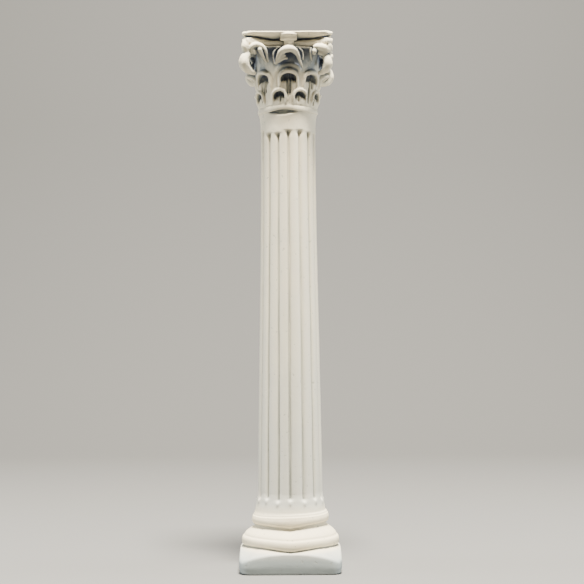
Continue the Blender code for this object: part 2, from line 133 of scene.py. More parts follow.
def placed(name: str, data: bpy.types.ID) -> bpy.types.Object:
    """Puts a mesh, light or camera in the scene as a new object."""
    thing = bpy.data.objects.new(name, data)
    bpy.context.scene.collection.objects.link(thing)
    return thing


def close_rows(name: str, rows: Rows) -> bpy.types.Mesh:
    """Skins equal closed rows of points, bottom to top, and closes both ends with a fan.

    Args:
        name: Name of the new mesh.
        rows: Arrays of points, all of one length, each running to the right round the axis.

    Returns:
        A closed mesh with its faces pointing out.
    """
    count = len(rows[0])
    vertices = np.concatenate(rows + [rows[0].mean(0)[None], rows[-1].mean(0)[None]])
    here = np.arange(count)
    after = (here + 1) % count
    faces = []
    for row in range(len(rows) - 1):
        low, high = row * count, (row + 1) * count
        faces += np.stack([low + here, low + after, high + after, high + here], 1).tolist()
    foot, head = len(vertices) - 2, len(vertices) - 1
    top = (len(rows) - 1) * count
    faces += [[foot, b, a] for a, b in zip(here.tolist(), after.tolist())]
    faces += [[head, top + a, top + b] for a, b in zip(here.tolist(), after.tolist())]
    return new_mesh(name, vertices.tolist(), faces)


class Uniting(Enum):
    """Ways of uniting closed shapes: a voxel remesh that melts them, or an exact join."""

    MELT = "VOXEL"
    JOIN = "MANIFOLD"


class Workshop:
    """Turns meshes into others with Blender's modifiers, on objects that it throws away."""

    @staticmethod
    def evaluated(mesh: bpy.types.Mesh,
                  dress: Callable[[bpy.types.Object], None]) -> bpy.types.Mesh:
        """Puts a mesh through modifiers.

        Args:
            mesh: The mesh to work on; it is removed.
            dress: Adds the modifiers to the object it is given.

        Returns:
            A new plain mesh.
        """
        thing = placed(mesh.name, mesh)
        dress(thing)
        graph = bpy.context.evaluated_depsgraph_get()
        made = bpy.data.meshes.new_from_object(thing.evaluated_get(graph))
        made.name = mesh.name
        bpy.data.objects.remove(thing, do_unlink=True)
        bpy.data.meshes.remove(mesh)
        return made

    @staticmethod
    def joined(name: str, meshes: Iterable[bpy.types.Mesh]) -> bpy.types.Mesh:
        """Puts several meshes into one, which keeps their separate shells.

        Args:
            name: Name of the new mesh.
            meshes: The meshes to join; they are removed.

        Returns:
            The joined mesh.
        """
        vertices, faces, start = [], [], 0
        for mesh in meshes:
            vertices += points_of(mesh).tolist()
            faces += [[start + index for index in face.vertices] for face in mesh.polygons]
            start += len(mesh.vertices)
            bpy.data.meshes.remove(mesh)
        return new_mesh(name, vertices, faces)

    @classmethod
    def melted(cls, mesh: bpy.types.Mesh, voxel: float, passes: int) -> bpy.types.Mesh:
        """Unites overlapping shells and softens what they leave.

        Args:
            mesh: Closed shells; it is removed.
            voxel: Side of a voxel.
            passes: How many times the surface is smoothed.

        Returns:
            One soft closed skin.
        """
        def dress(thing: bpy.types.Object) -> None:
            """Adds the remesh and the smoothing."""
            remesh = thing.modifiers.new("melt", "REMESH")
            remesh.mode = Uniting.MELT.value
            remesh.voxel_size = voxel
            smooth = thing.modifiers.new("soften", "SMOOTH")
            smooth.factor = 0.5
            smooth.iterations = passes

        return cls.evaluated(mesh, dress)

    @classmethod
    def thinned(cls, mesh: bpy.types.Mesh, triangles: int) -> bpy.types.Mesh:
        """Returns the mesh with about so many triangles."""
        now = sum(len(face.vertices) - 2 for face in mesh.polygons)

        def dress(thing: bpy.types.Object) -> None:
            """Adds the thinning."""
            thin = thing.modifiers.new("thin", "DECIMATE")
            thin.ratio = min(1.0, triangles / now)

        return cls.evaluated(mesh, dress)

    @classmethod
    def united(cls, mesh: bpy.types.Mesh, other: bpy.types.Mesh) -> bpy.types.Mesh:
        """Unites two closed meshes.

        Args:
            mesh: The first mesh; it is removed.
            other: The second mesh; it is removed.

        Returns:
            One closed skin.
        """
        tool = placed(other.name, other)

        def dress(thing: bpy.types.Object) -> None:
            """Adds the union."""
            union = thing.modifiers.new("join", "BOOLEAN")
            union.operation = "UNION"
            union.solver = Uniting.JOIN.value
            union.object = tool

        made = cls.evaluated(mesh, dress)
        bpy.data.objects.remove(tool, do_unlink=True)
        bpy.data.meshes.remove(other)
        return made

    @staticmethod
    def drop_slivers(mesh: bpy.types.Mesh) -> None:
        """Deletes the tiny loose shells that the union leaves, all but the largest."""
        work = bmesh.new()
        work.from_mesh(mesh)
        unseen, shells = set(work.verts), []
        while unseen:
            shell, waiting = set(), [unseen.pop()]
            while waiting:
                vertex = waiting.pop()
                shell.add(vertex)
                near = {edge.other_vert(vertex) for edge in vertex.link_edges} & unseen
                unseen -= near
                waiting += near
            shells.append(shell)
        shells.sort(key=len)
        loose = [vertex for shell in shells[:-1] for vertex in shell]
        bmesh.ops.delete(work, geom=loose, context="VERTS")
        work.to_mesh(mesh)
        work.free()
        LOG.info("slivers: %d shells removed", len(shells) - 1)


class Socket:
    """A node's output that does sums: each operator adds the Math node it stands for."""

    def __init__(self, graph: "Graph", link: Any) -> None:
        """Wraps an output socket of a node in the graph."""
        self.graph = graph
        self.link = link

    def _math(self, operation: str, *values: Any, clamp: bool = False) -> "Socket":
        """Adds a Math node and returns its result."""
        settings = {"operation": operation, "use_clamp": clamp}
        return self.graph.add("ShaderNodeMath", settings, dict(enumerate(values)))

    def __add__(self, other: Any) -> "Socket":
        """Returns self + other."""
        return self._math("ADD", self, other)

    __radd__ = __add__

    def __mul__(self, other: Any) -> "Socket":
        """Returns self * other."""
        return self._math("MULTIPLY", self, other)

    __rmul__ = __mul__

    def __sub__(self, other: Any) -> "Socket":
        """Returns self - other."""
        return self._math("SUBTRACT", self, other)

    def __rsub__(self, other: Any) -> "Socket":
        """Returns other - self."""
        return self._math("SUBTRACT", other, self)

    def between(self, low: float, high: float) -> "Socket":
        """Returns 0 below low, 1 above high and a straight climb between."""
        return self._math("MULTIPLY", self - low, 1 / (high - low), clamp=True)

    def within(self, band: Band) -> "Socket":
        """Returns 1 inside a band and 0 outside it, with a climb and a fall between."""
        return self.between(band[0], band[1]) * self.between(band[3], band[2])


class Graph:
    """Builds a node tree, for a material or for Geometry Nodes."""

    def __init__(self, tree: bpy.types.NodeTree) -> None:
        """Starts an empty tree."""
        self.tree = tree
        tree.nodes.clear()

    def node(self, kind: str, settings: dict[str, Any], inputs: dict[Any, Any]) -> bpy.types.Node:
        """Adds a node.

        Args:
            kind: The node's type.
            settings: Properties that are set first.
            inputs: Values, or Sockets to link from, by the input's name or number.

        Returns:
            The node.
        """
        node = self.tree.nodes.new(kind)
        for name, value in settings.items():
            setattr(node, name, value)
        for name, value in inputs.items():
            if isinstance(value, Socket):
                self.tree.links.new(value.link, node.inputs[name])
            else:
                node.inputs[name].default_value = value
        return node

    def add(self, kind: str, settings: dict[str, Any] | None = None,
            inputs: dict[Any, Any] | None = None, output: int | str = 0) -> Socket:
        """Adds a node and returns one of its outputs.

        Args:
            kind: The node's type.
            settings: Properties that are set first.
            inputs: Values or Sockets, by the input's name or number.
            output: Name or number of the output.

        Returns:
            The output, ready for sums.
        """
        return Socket(self, self.node(kind, settings or {}, inputs or {}).outputs[output])


class GeometryTool:
    """A Geometry Nodes tree with named inputs, which makes a mesh from a mesh."""

    def __init__(self, name: str, inputs: dict[str, str]) -> None:
        """Starts a tree.

        Args:
            name: Name of the tree.
            inputs: Socket type of each named input, beside the geometry.
        """
        tree = bpy.data.node_groups.new(name, "GeometryNodeTree")
        face = tree.interface
        face.new_socket("Geometry", in_out="INPUT", socket_type="NodeSocketGeometry")
        face.new_socket("Geometry", in_out="OUTPUT", socket_type="NodeSocketGeometry")
        self.sockets = {key: face.new_socket(key, in_out="INPUT", socket_type=kind).identifier
                        for key, kind in inputs.items()}
        self.graph = Graph(tree)
        self.source = self.graph.node("NodeGroupInput", {}, {})

    def input(self, name: str) -> Socket:
        """Returns one of the tree's inputs."""
        return Socket(self.graph, self.source.outputs[name])

    def close(self, geometry: Socket, material: Socket) -> None:
        """Ends the tree with real geometry in its material."""
        real = self.graph.add("GeometryNodeRealizeInstances", {}, {"Geometry": geometry})
        dressed = self.graph.add("GeometryNodeSetMaterial", {},
                                 {"Geometry": real, "Material": material})
        self.graph.node("NodeGroupOutput", {}, {"Geometry": dressed})

    def run(self, mesh: bpy.types.Mesh, values: dict[str, Any]) -> bpy.types.Mesh:
        """Puts a mesh through the tree.

        Args:
            mesh: The tree's geometry; it is removed.
            values: The tree's named inputs.

        Returns:
            The mesh that the tree makes.
        """
        def dress(thing: bpy.types.Object) -> None:
            """Adds the tree and sets its inputs."""
            nodes = thing.modifiers.new(self.graph.tree.name, "NODES")
            nodes.node_group = self.graph.tree
            for name, value in values.items():
                nodes[self.sockets[name]] = value

        return Workshop.evaluated(mesh, dress)


class RoundCopies(GeometryTool):
    """Copies a mesh round the axis, in directions that the mesh carries on its first points."""

    def __init__(self, material: bpy.types.Material) -> None:
        """Builds the tree."""
        super().__init__("copies_round_axis", {"Count": "NodeSocketInt",
                                               "Material": "NodeSocketMaterial"})
        self.material = material
        add = self.graph.add
        points = add("GeometryNodePoints", {}, {"Count": self.input("Count")})
        direction = add("GeometryNodeInputNamedAttribute", {"data_type": "FLOAT"},
                        {"Name": "direction"})
        master = self.input("Geometry")
        angle = add("GeometryNodeSampleIndex", {"data_type": "FLOAT", "domain": "POINT"},
                    {"Geometry": master, "Value": direction,
                     "Index": add("GeometryNodeInputIndex")})
        spin = add("ShaderNodeCombineXYZ", {}, {"Z": angle})
        copies = add("GeometryNodeInstanceOnPoints", {},
                     {"Points": points, "Instance": master, "Rotation": spin})
        self.close(copies, self.input("Material"))

    def copies(self, mesh: bpy.types.Mesh, azimuths: np.ndarray) -> bpy.types.Mesh:
        """Copies a mesh that faces the front.

        Args:
            mesh: The mesh to copy; it is removed.
            azimuths: Direction of each copy.

        Returns:
            One mesh of all copies.
        """
        directions = np.zeros(len(mesh.vertices), np.float32)
        directions[:len(azimuths)] = azimuths
        store(mesh, "direction", directions)
        return self.run(mesh, {"Count": len(azimuths), "Material": self.material})


@dataclass(frozen=True)
class Stroke:
    """A soft round stroke of varying girth along a smooth line, as laid on with a tool.

    Attributes:
        points: Places on the line, each with its radius: (x, y, z, radius).
    """

    points: tuple[tuple[float, float, float, float], ...]


class StrokeTool(GeometryTool):
    """Makes tapering round bars along smooth lines."""

    def __init__(self, material: bpy.types.Material) -> None:
        """Builds the tree."""
        super().__init__("strokes", {"Sides": "NodeSocketInt", "Steps": "NodeSocketInt",
                                     "Material": "NodeSocketMaterial"})
        self.material = material
        add = self.graph.add
        girth = add("GeometryNodeInputNamedAttribute", {"data_type": "FLOAT"}, {"Name": "girth"})
        line = add("GeometryNodeMeshToCurve", {}, {"Mesh": self.input("Geometry")})
        smooth = add("GeometryNodeCurveSplineType", {"spline_type": "CATMULL_ROM"},
                     {"Curve": line})
        even = add("GeometryNodeResampleCurve", {},
                   {"Curve": smooth, "Count": self.input("Steps")})
        circle = add("GeometryNodeCurvePrimitiveCircle", {},
                     {"Resolution": self.input("Sides"), "Radius": 1.0})
        bars = add("GeometryNodeCurveToMesh", {},
                   {"Curve": even, "Profile Curve": circle, "Scale": girth, "Fill Caps": True})
        self.close(bars, self.input("Material"))

    def bars(self, name: str, strokes: Sequence[Stroke], sides: int = 14,
             steps: int = 24) -> bpy.types.Mesh:
        """Makes the bars of several strokes.

        Args:
            name: Name of the new mesh.
            strokes: The strokes.
            sides: Sides of each bar.
            steps: Rings along each bar.

        Returns:
            One mesh with a closed bar for each stroke.
        """
        points, edges, girths = [], [], []
        for stroke in strokes:
            start = len(points)
            points += [point[:3] for point in stroke.points]
            girths += [point[3] for point in stroke.points]
            edges += [(start + step, start + step + 1) for step in range(len(stroke.points) - 1)]
        mesh = new_mesh(name, points, (), edges)
        store(mesh, "girth", girths)
        return self.run(mesh, {"Sides": sides, "Steps": steps, "Material": self.material})


@dataclass(frozen=True)
class Levels:
    """Heights of the column's members, from the ground up."""

    plinth: float = 10.8 * MM
    lower_torus: float = 16.3 * MM
    scotia: float = 21.2 * MM
    upper_torus: float = 27.1 * MM
    fillet: float = 28.4 * MM
    shaft_foot: float = 38.0 * MM
    shaft_top: float = 221.0 * MM
    neck: float = 228.2 * MM
    collar: float = 232.3 * MM
    bell: float = 260.9 * MM
    fascia: float = 262.8 * MM
    top: float = 267.0 * MM


LEVELS = Levels()


@dataclass
class Plinth:
    """The square block, worn down towards its corners.

    Attributes:
        half: Half its width where it bulges most.
        corner: Radius of its upright edges.
        corner_drop: How far its upper edge drops towards the corners.
        foot_edge: Radius of the edge round its underside.
        top_edge: Radius of its worn upper edge.
        belly: How far its sides bulge.
        seat: How far the middle of its upper edge lies below the torus.
        worn_reach: How far the worn edge reaches in, as a share of how far it reaches down.
        foot_steps: Rows round the foot's edge.
        top_steps: Rows round the worn edge.
        side_levels: Rows up the sides, as shares of their height.
        seat_levels: Rows from the worn edge in to the torus, as shares of the way.
    """

    half: float = 25.25 * MM
    corner: float = 5.2 * MM
    corner_drop: float = 3.6 * MM
    foot_edge: float = 1.2 * MM
    top_edge: float = 2.3 * MM
    belly: float = 0.5 * MM
    seat: float = 0.35 * MM
    worn_reach: float = 0.8
    foot_steps: int = 5
    top_steps: int = 8
    side_levels: tuple[float, ...] = (0.2, 0.4, 0.6, 0.8)
    seat_levels: tuple[float, ...] = (0.15, 0.3, 0.45, 0.6, 0.75, 0.9)

    def outline(self, azimuth: np.ndarray, half: float) -> np.ndarray:
        """Returns the distance from the axis to a rounded square in each direction."""
        major = np.maximum(abs(np.sin(azimuth)), abs(np.cos(azimuth)))
        minor = np.minimum(abs(np.sin(azimuth)), abs(np.cos(azimuth)))
        straight = half - self.corner
        along = straight * (major + minor)
        inside = along ** 2 - 2 * straight ** 2 + self.corner ** 2
        arc = along + np.sqrt(np.maximum(inside, 0))
        return np.where(minor * half <= straight * major, half / major, arc)

    def rows(self, azimuth: np.ndarray, torus_root: float, torus_foot: np.ndarray) -> Rows:
        """Builds the block from its underside up to the foot of the torus.

        Args:
            azimuth: Directions of the columns.
            torus_root: Distance from the axis to the foot of the torus.
            torus_foot: Height of the foot of the torus in each direction.

        Returns:
            Rows of points, bottom to top.
        """
        lateral = np.minimum(abs(np.sin(azimuth)), abs(np.cos(azimuth)))
        rows = []
        for step in range(self.foot_steps + 1):
            angle = math.pi / 2 * step / self.foot_steps
            reach = self.outline(azimuth, self.half - self.belly
                                 - self.foot_edge * (1 - math.sin(angle)))
            rows.append(polar_points(azimuth, reach, self.foot_edge * (1 - math.cos(angle))))
        outer = self.outline(azimuth, self.half)
        drop = self.corner_drop * (lateral * outer / self.half) ** 2.6
        crest = LEVELS.plinth - self.seat - drop
        worn = self.top_edge * (0.4 + 1.2 * lateral ** 2)
        for share in self.side_levels:
            out = self.half - self.belly * (1 - math.sin(math.pi / 2 * min(1, share / 0.5)))
            z = self.foot_edge + (crest - worn - self.foot_edge) * share
            rows.append(polar_points(azimuth, self.outline(azimuth, out), z))
        for step in range(self.top_steps + 1):
            angle = math.pi / 2 * step / self.top_steps
            inset = self.worn_reach * worn * (1 - math.cos(angle))
            reach = self.outline(azimuth, self.half - inset)
            rows.append(polar_points(azimuth, reach, crest - worn * (1 - math.sin(angle))))
        edge = self.outline(azimuth, self.half - self.worn_reach * worn)
        for share in self.seat_levels:
            reach = edge + (torus_root - edge) * share
            rise = share * (0.55 + 0.45 * share)
            rows.append(polar_points(azimuth, reach, crest + (torus_foot - crest) * rise))
        return rows


@dataclass
class Base:
    """The two rolls and the hollow between them, with edges that sag to a point at the front.

    Attributes:
        sag_width: Angle over which an edge sags, to each side of a face's middle.
        lower_sag: How far the lower roll's lower edge sags.
        upper_sag: How far the upper roll's lower edge sags.
        right_lift: How far the upper roll rises on the right.
        crease: Depth of the faint crease round each roll.
        other_faces: Sag of the other three faces, as a share of the front's.
        creases: Place of the lower and the upper roll's crease, as a share of its height.
        roll_steps: Rows in each roll.
        hollow_steps: Rows in the hollow between them.
    """

    lower_radius: float = 24.5 * MM
    lower_root: float = 23.3 * MM
    scotia_radius: float = 17.9 * MM
    upper_radius: float = 19.35 * MM
    fillet_radius: float = 18.45 * MM
    sag_width: float = math.radians(36)
    lower_sag: float = 1.7 * MM
    upper_sag: float = 0.75 * MM
    right_lift: float = 1.1 * MM
    crease: float = 0.1 * MM
    other_faces: float = 0.7
    creases: tuple[float, float] = (0.95, 0.8)
    roll_steps: int = 14
    hollow_steps: int = 9

    def sag(self, azimuth: np.ndarray) -> np.ndarray:
        """Returns each direction's share of the sag: pointed at the front, softer elsewhere."""
        front = np.maximum(0, 1 - abs(wrapped(azimuth)) / self.sag_width) ** 1.35
        others = sum(np.maximum(0, 1 - abs(wrapped(azimuth - turn)) / self.sag_width) ** 2
                     for turn in (math.pi / 2, math.pi, -math.pi / 2))
        return front + self.other_faces * others

    def torus_foot(self, azimuth: np.ndarray) -> np.ndarray:
        """Returns the height of the lower roll's lower edge in each direction."""
        side = np.sin(azimuth) ** 2
        return LEVELS.plinth + self.lower_sag * (1 - self.sag(azimuth)) * (1 - 0.35 * side)

    def roll(self, azimuth: np.ndarray, low: np.ndarray, high: np.ndarray,
             roots: tuple[float, float], outer: float, crease: float) -> Rows:
        """Builds a half-round roll between two edges.

        Args:
            azimuth: Directions of the columns.
            low: Height of the lower edge in each direction.
            high: Height of the upper edge in each direction.
            roots: Distance from the axis at the lower and upper edge.
            outer: Distance from the axis at the roll's middle.
            crease: Where a faint crease runs round it, as a share of its height.

        Returns:
            Rows of points, bottom to top.
        """
        rows = []
        for step in range(1, self.roll_steps + 1):
            share = step / self.roll_steps
            level = (1 - math.cos(math.pi * share)) / 2
            root = roots[0] + (roots[1] - roots[0]) * level
            reach = root + (outer - root) * math.sin(math.pi * share) ** 0.85
            reach -= self.crease * bump(level - crease, 0.07)
            rows.append(polar_points(azimuth, reach, low + (high - low) * level))
        return rows

    def rows(self, azimuth: np.ndarray) -> Rows:
        """Builds the base from the lower roll's foot to the fillet under the shaft.

        Args:
            azimuth: Directions of the columns.

        Returns:
            Rows of points, bottom to top.
        """
        sag = self.sag(azimuth)
        lift = self.right_lift * np.maximum(0, np.sin(azimuth)) ** 0.9
        foot = self.torus_foot(azimuth)
        shoulder = LEVELS.lower_torus + 0.5 * MM * (0.5 - sag)
        rows = [polar_points(azimuth, self.lower_root - 0.3 * MM * sag, foot)]
        rows += self.roll(azimuth, foot, shoulder, (self.lower_root, self.lower_root),
                          self.lower_radius, self.creases[0])
        under = LEVELS.scotia + 0.3 * MM + self.upper_sag * (1 - sag) + lift
        for share in np.linspace(1 / self.hollow_steps, 1, self.hollow_steps):
            sweep = (1 - math.cos(math.pi * share)) / 2
            reach = self.lower_root + (self.scotia_radius - self.lower_root) * sweep
            rows.append(polar_points(azimuth, reach, shoulder + (under - shoulder) * share))
        left = np.maximum(0, -np.sin(azimuth))
        head = LEVELS.upper_torus + 0.2 * MM + 0.3 * lift - 0.9 * MM * left
        rows += self.roll(azimuth, under, head, (self.scotia_radius, self.fillet_radius),
                          self.upper_radius, self.creases[1])
        rows.append(polar_points(azimuth, self.fillet_radius + 0.05 * MM, head + 0.55 * MM))
        rows.append(polar_points(azimuth, self.fillet_radius - 0.3 * MM, head + 0.95 * MM))
        return rows


@dataclass
class Shaft:
    """The tapering shaft with its narrow grooves, from the fillet up into the collar.

    Attributes:
        turn: How far the whole set of grooves is turned.
        front_offsets: How far each groove on the front is out of its even place, in degrees.
        shoulder: How far the sides of a groove fall towards it.
        lip: How far the plaster stands up round the foot of a groove.
        slot_depth: Depth of the gap under the collar, at its deepest place.
        slot_azimuth: Direction of that place.
        slot_width: Angle over which the gap closes, to each side of it.
        stretches: Upper end of each stretch of the shaft, in mm, and the rows in it.
    """

    foot_radius: float = 16.3 * MM
    top_radius: float = 13.85 * MM
    foot_flare: float = 1.45 * MM
    neck_flare: float = 0.75 * MM
    flutes: int = 15
    turn: float = math.radians(0.8)
    front_offsets: dict[int, float] = field(default_factory=lambda: {
        -3: 3.0, -2: 2.2, -1: 1.6, 0: -0.6, 1: 0.4, 2: 0.4})
    columns_per_flute: int = 14
    groove_foot: float = 34.2 * MM
    groove_head: float = 219.8 * MM
    depth_at_foot: float = 1.4 * MM
    depth_at_head: float = 1.0 * MM
    groove_width: float = 0.66 * MM
    shoulder: float = 0.36 * MM
    lip: float = 0.4 * MM
    slot_depth: float = 2.0 * MM
    slot_azimuth: float = math.radians(-13)
    slot_width: float = math.radians(31)
    stretches: tuple[tuple[float, int], ...] = (
        (32.0, 6), (39.0, 20), (60.0, 8), (205.0, 32), (215.0, 5), (221.5, 22), (230.6, 14))

    def columns(self) -> tuple[np.ndarray, np.ndarray, np.ndarray]:
        """Returns each column's direction, groove number and place across its groove."""
        steps = np.linspace(-1, 1, self.columns_per_flute + 1)[:-1]
        across = 0.5 * np.sign(steps) * abs(steps) ** 1.6
        grooves = np.repeat(np.arange(self.flutes), self.columns_per_flute)
        across = np.tile(across, self.flutes)
        return (grooves + across) * TAU / self.flutes, grooves, across

    def wander(self, grooves: np.ndarray, across: np.ndarray) -> np.ndarray:
        """Returns how far each column strays from its even place, at full strength."""
        signed = np.where(grooves > self.flutes // 2, grooves - self.flutes, grooves)
        generator = np.random.default_rng(4)
        stray = generator.uniform(-1.6, 1.6, self.flutes)
        for groove, offset in self.front_offsets.items():
            stray[groove % self.flutes] = offset
        own = stray[signed % self.flutes]
        near = stray[(signed + np.sign(across).astype(int)) % self.flutes]
        return np.radians(own + (near - own) * abs(across))

    def radius(self, z: float) -> float:
        """Returns the shaft's plain radius at a height, its flares included."""
        if z < LEVELS.shaft_foot:
            share = (LEVELS.shaft_foot - z) / (LEVELS.shaft_foot - LEVELS.fillet)
            return self.foot_radius + self.foot_flare * share ** 1.25
        share = min(1.0, (z - LEVELS.shaft_foot) / (LEVELS.shaft_top - LEVELS.shaft_foot))
        rise = math.sin(math.pi / 2 * share)
        radius = self.foot_radius - (self.foot_radius - self.top_radius) * (rise + rise ** 2) / 2
        neck = max(0.0, (z - LEVELS.shaft_top) / (LEVELS.neck - LEVELS.shaft_top))
        return radius + self.neck_flare * min(neck, 1.0) ** 2.2

    def heights(self) -> np.ndarray:
        """Returns the heights of the rows, close together where grooves begin and end."""
        low, parts = LEVELS.fillet + 0.3 * MM, []
        for high, steps in self.stretches:
            parts.append(np.linspace(low, high * MM, steps, endpoint=False))
            low = high * MM
        return np.concatenate(parts)

    def rows(self, sink: float) -> Rows:
        """Builds the shaft.

        Args:
            sink: How far the last row ends inside the capital.

        Returns:
            Rows of points, bottom to top.
        """
        azimuth, grooves, across = self.columns()
        wander = self.wander(grooves, across)
        generator = np.random.default_rng(9)
        heads = self.groove_head - generator.uniform(-0.4, 1.6, self.flutes)[grooves] * MM
        heads = heads + 1.0 * MM * (grooves == 0)
        feet = self.groove_foot + generator.uniform(-0.5, 0.5, self.flutes)[grooves] * MM
        phase = generator.uniform(0, TAU, self.flutes)[grooves]
        rows = []
        for z in self.heights():
            plain = self.radius(z)
            steady = ease((z - LEVELS.fillet) / (6 * MM)) * ease((LEVELS.neck - z) / (5 * MM))
            slow = math.radians(0.35) * np.sin(z / (31 * MM) + phase)
            where = azimuth + self.turn + (wander + slow) * steady
            away = across * TAU / self.flutes * plain
            share = (z - LEVELS.shaft_foot) / (LEVELS.shaft_top - LEVELS.shaft_foot)
            depth = self.depth_at_foot + (self.depth_at_head - self.depth_at_foot) * share
            inside = ease((z - feet) / (1.8 * MM)) * ease((heads - z) / (0.7 * MM))
            pit = bump(z - heads + 1.6 * MM, 1.5 * MM)
            width = self.groove_width * (1 + 0.55 * pit + 0.12 * np.sin(z / (7 * MM) + 2 * phase))
            groove = depth * (1 + 0.5 * pit) * bump(away, width)
            sides = self.shoulder * bump(away, 1.9 * MM)
            lip = self.lip * bump(away, 0.8 * MM) * bump(z - feet + 0.6 * MM, 1.3 * MM)
            reach = plain + 0.06 * MM - inside * (groove + sides) + lip
            rows.append(polar_points(where, reach - self.slot(where, z), z))
        last = rows[-1].copy()
        last[:, :2] *= 0.9
        last[:, 2] += sink
        rows.append(last)
        return rows

    def slot(self, azimuth: np.ndarray, z: float) -> np.ndarray:
        """Returns how deep the gap under the collar cuts into the neck in each direction."""
        window = np.maximum(0, 1 - (wrapped(azimuth - self.slot_azimuth) / self.slot_width) ** 2)
        floor = LEVELS.neck - 0.1 * MM - 1.1 * MM * window
        return (0.35 * MM + (self.slot_depth - 0.35 * MM) * window ** 0.7) * ease(
            (z - floor) / (0.6 * MM))


class LowerBody:
    """Plinth, base and shaft as one closed grid."""

    def __init__(self) -> None:
        """Sets out the three members."""
        self.plinth = Plinth()
        self.base = Base()
        self.shaft = Shaft()

    def mesh(self) -> bpy.types.Mesh:
        """Returns the closed grid."""
        azimuth = self.shaft.columns()[0]
        foot = self.base.torus_foot(azimuth)
        rows = self.plinth.rows(azimuth, self.base.lower_root, foot)
        rows += self.base.rows(azimuth)
        rows += self.shaft.rows(sink=0.5 * MM)
        return close_rows("lower_body", rows)


@dataclass
class LeafTier:
    """A ring of eight leaves: each a ribbed recess between legs, under a hood that juts.

    Attributes:
        hood: How far the hoods hang down.
        projection: How far the hoods jut.
        worn_projection: How far those of the worn leaves on the front jut.
        azimuths: Direction of each leaf, in degrees from the front, the worn ones first.
        worn: How many leaves are worn.
        grooves: Place across the leaf, length and depth of each groove between its ribs, in mm.
        recess: How far down the recess under the hood reaches in the leaf's middle.
        recess_spread: How much farther down it reaches at the leaf's sides.
        rim_foot: Height at which the rims' legs start.
        swell: How far the leaf swells below the recess.
    """

    foot: float
    top: float
    width: float
    hood: float
    projection: float
    worn_projection: float
    azimuths: tuple[float, ...]
    worn: int
    grooves: tuple[tuple[float, float, float], ...]
    recess: float
    recess_depth: float
    rim_foot: float
    rim_width: float = 1.15 * MM
    rim_height: float = 1.1 * MM
    groove_width: float = 0.46 * MM
    recess_spread: float = 1.8 * MM
    swell: float = 0.3 * MM

    def relief(self, azimuth: np.ndarray, z: np.ndarray, radius: np.ndarray) -> tuple:
        """Works out the recesses and ribs that the tier presses into the bell.

        Args:
            azimuth: Direction of each point of the bell.
            z: Height of each point.
            radius: Distance of each point from the axis.

        Returns:
            The relief at each point, positive outwards, and how far the point is inside a leaf.
        """
        relief = np.zeros_like(z)
        inside = np.zeros_like(z)
        half = self.width / 2 - 0.7 * self.rim_width
        down = self.top - 0.4 * self.hood - z
        generator = np.random.default_rng(11)
        for middle in self.azimuths:
            across = wrapped(azimuth - math.radians(middle)) * radius
            arch = np.sqrt(np.maximum(half ** 2 - np.minimum(0, down - half) ** 2, 0))
            window = ease((arch - abs(across)) / (0.4 * MM)) * (z > self.foot)
            stray = generator.uniform(-0.12, 0.12, len(self.grooves))
            floor = self.recess + self.recess_spread * np.minimum(1, across / half) ** 2
            press = -self.recess_depth * (1 - ease((down - floor) / (2.8 * MM)))
            press = press + self.swell * bump(down - self.recess - 4.0 * MM, 2.6 * MM)
            for (place, length, depth), shift in zip(self.grooves, stray):
                end = length * MM * (1 + 2 * shift)
                fade = ease((end - down) / (2.2 * MM))
                flare = 0.7 + 0.85 * np.clip(1 - down / end, 0, 1)
                bend = 0.035 * down * (place + 8 * shift)
                away = across - (place + shift) * MM + bend
                press = press - depth * MM * fade * bump(away, self.groove_width * flare)
            relief = relief + window * np.maximum(press, -1.5 * self.recess_depth)
            inside = np.maximum(inside, window)
        return relief, inside

    def rims(self, bell: Callable[[np.ndarray], np.ndarray],
             copier: RoundCopies) -> list[bpy.types.Mesh]:
        """Builds the rims and hoods of all leaves.

        Args:
            bell: Gives the bell's radius at a height.
            copier: Copies them round the axis.

        Returns:
            One mesh of the worn leaves and one of the others.
        """
        azimuths = np.radians(self.azimuths)
        meshes = []
        for projection, some in ((self.worn_projection, azimuths[:self.worn]),
                                 (self.projection, azimuths[self.worn:])):
            rim = Horseshoe(self.rim_foot, self.top, self.width, self.hood, projection,
                            self.rim_width, self.rim_height)
            meshes.append(copier.copies(rim.mesh("leaf", bell), some))
        return meshes


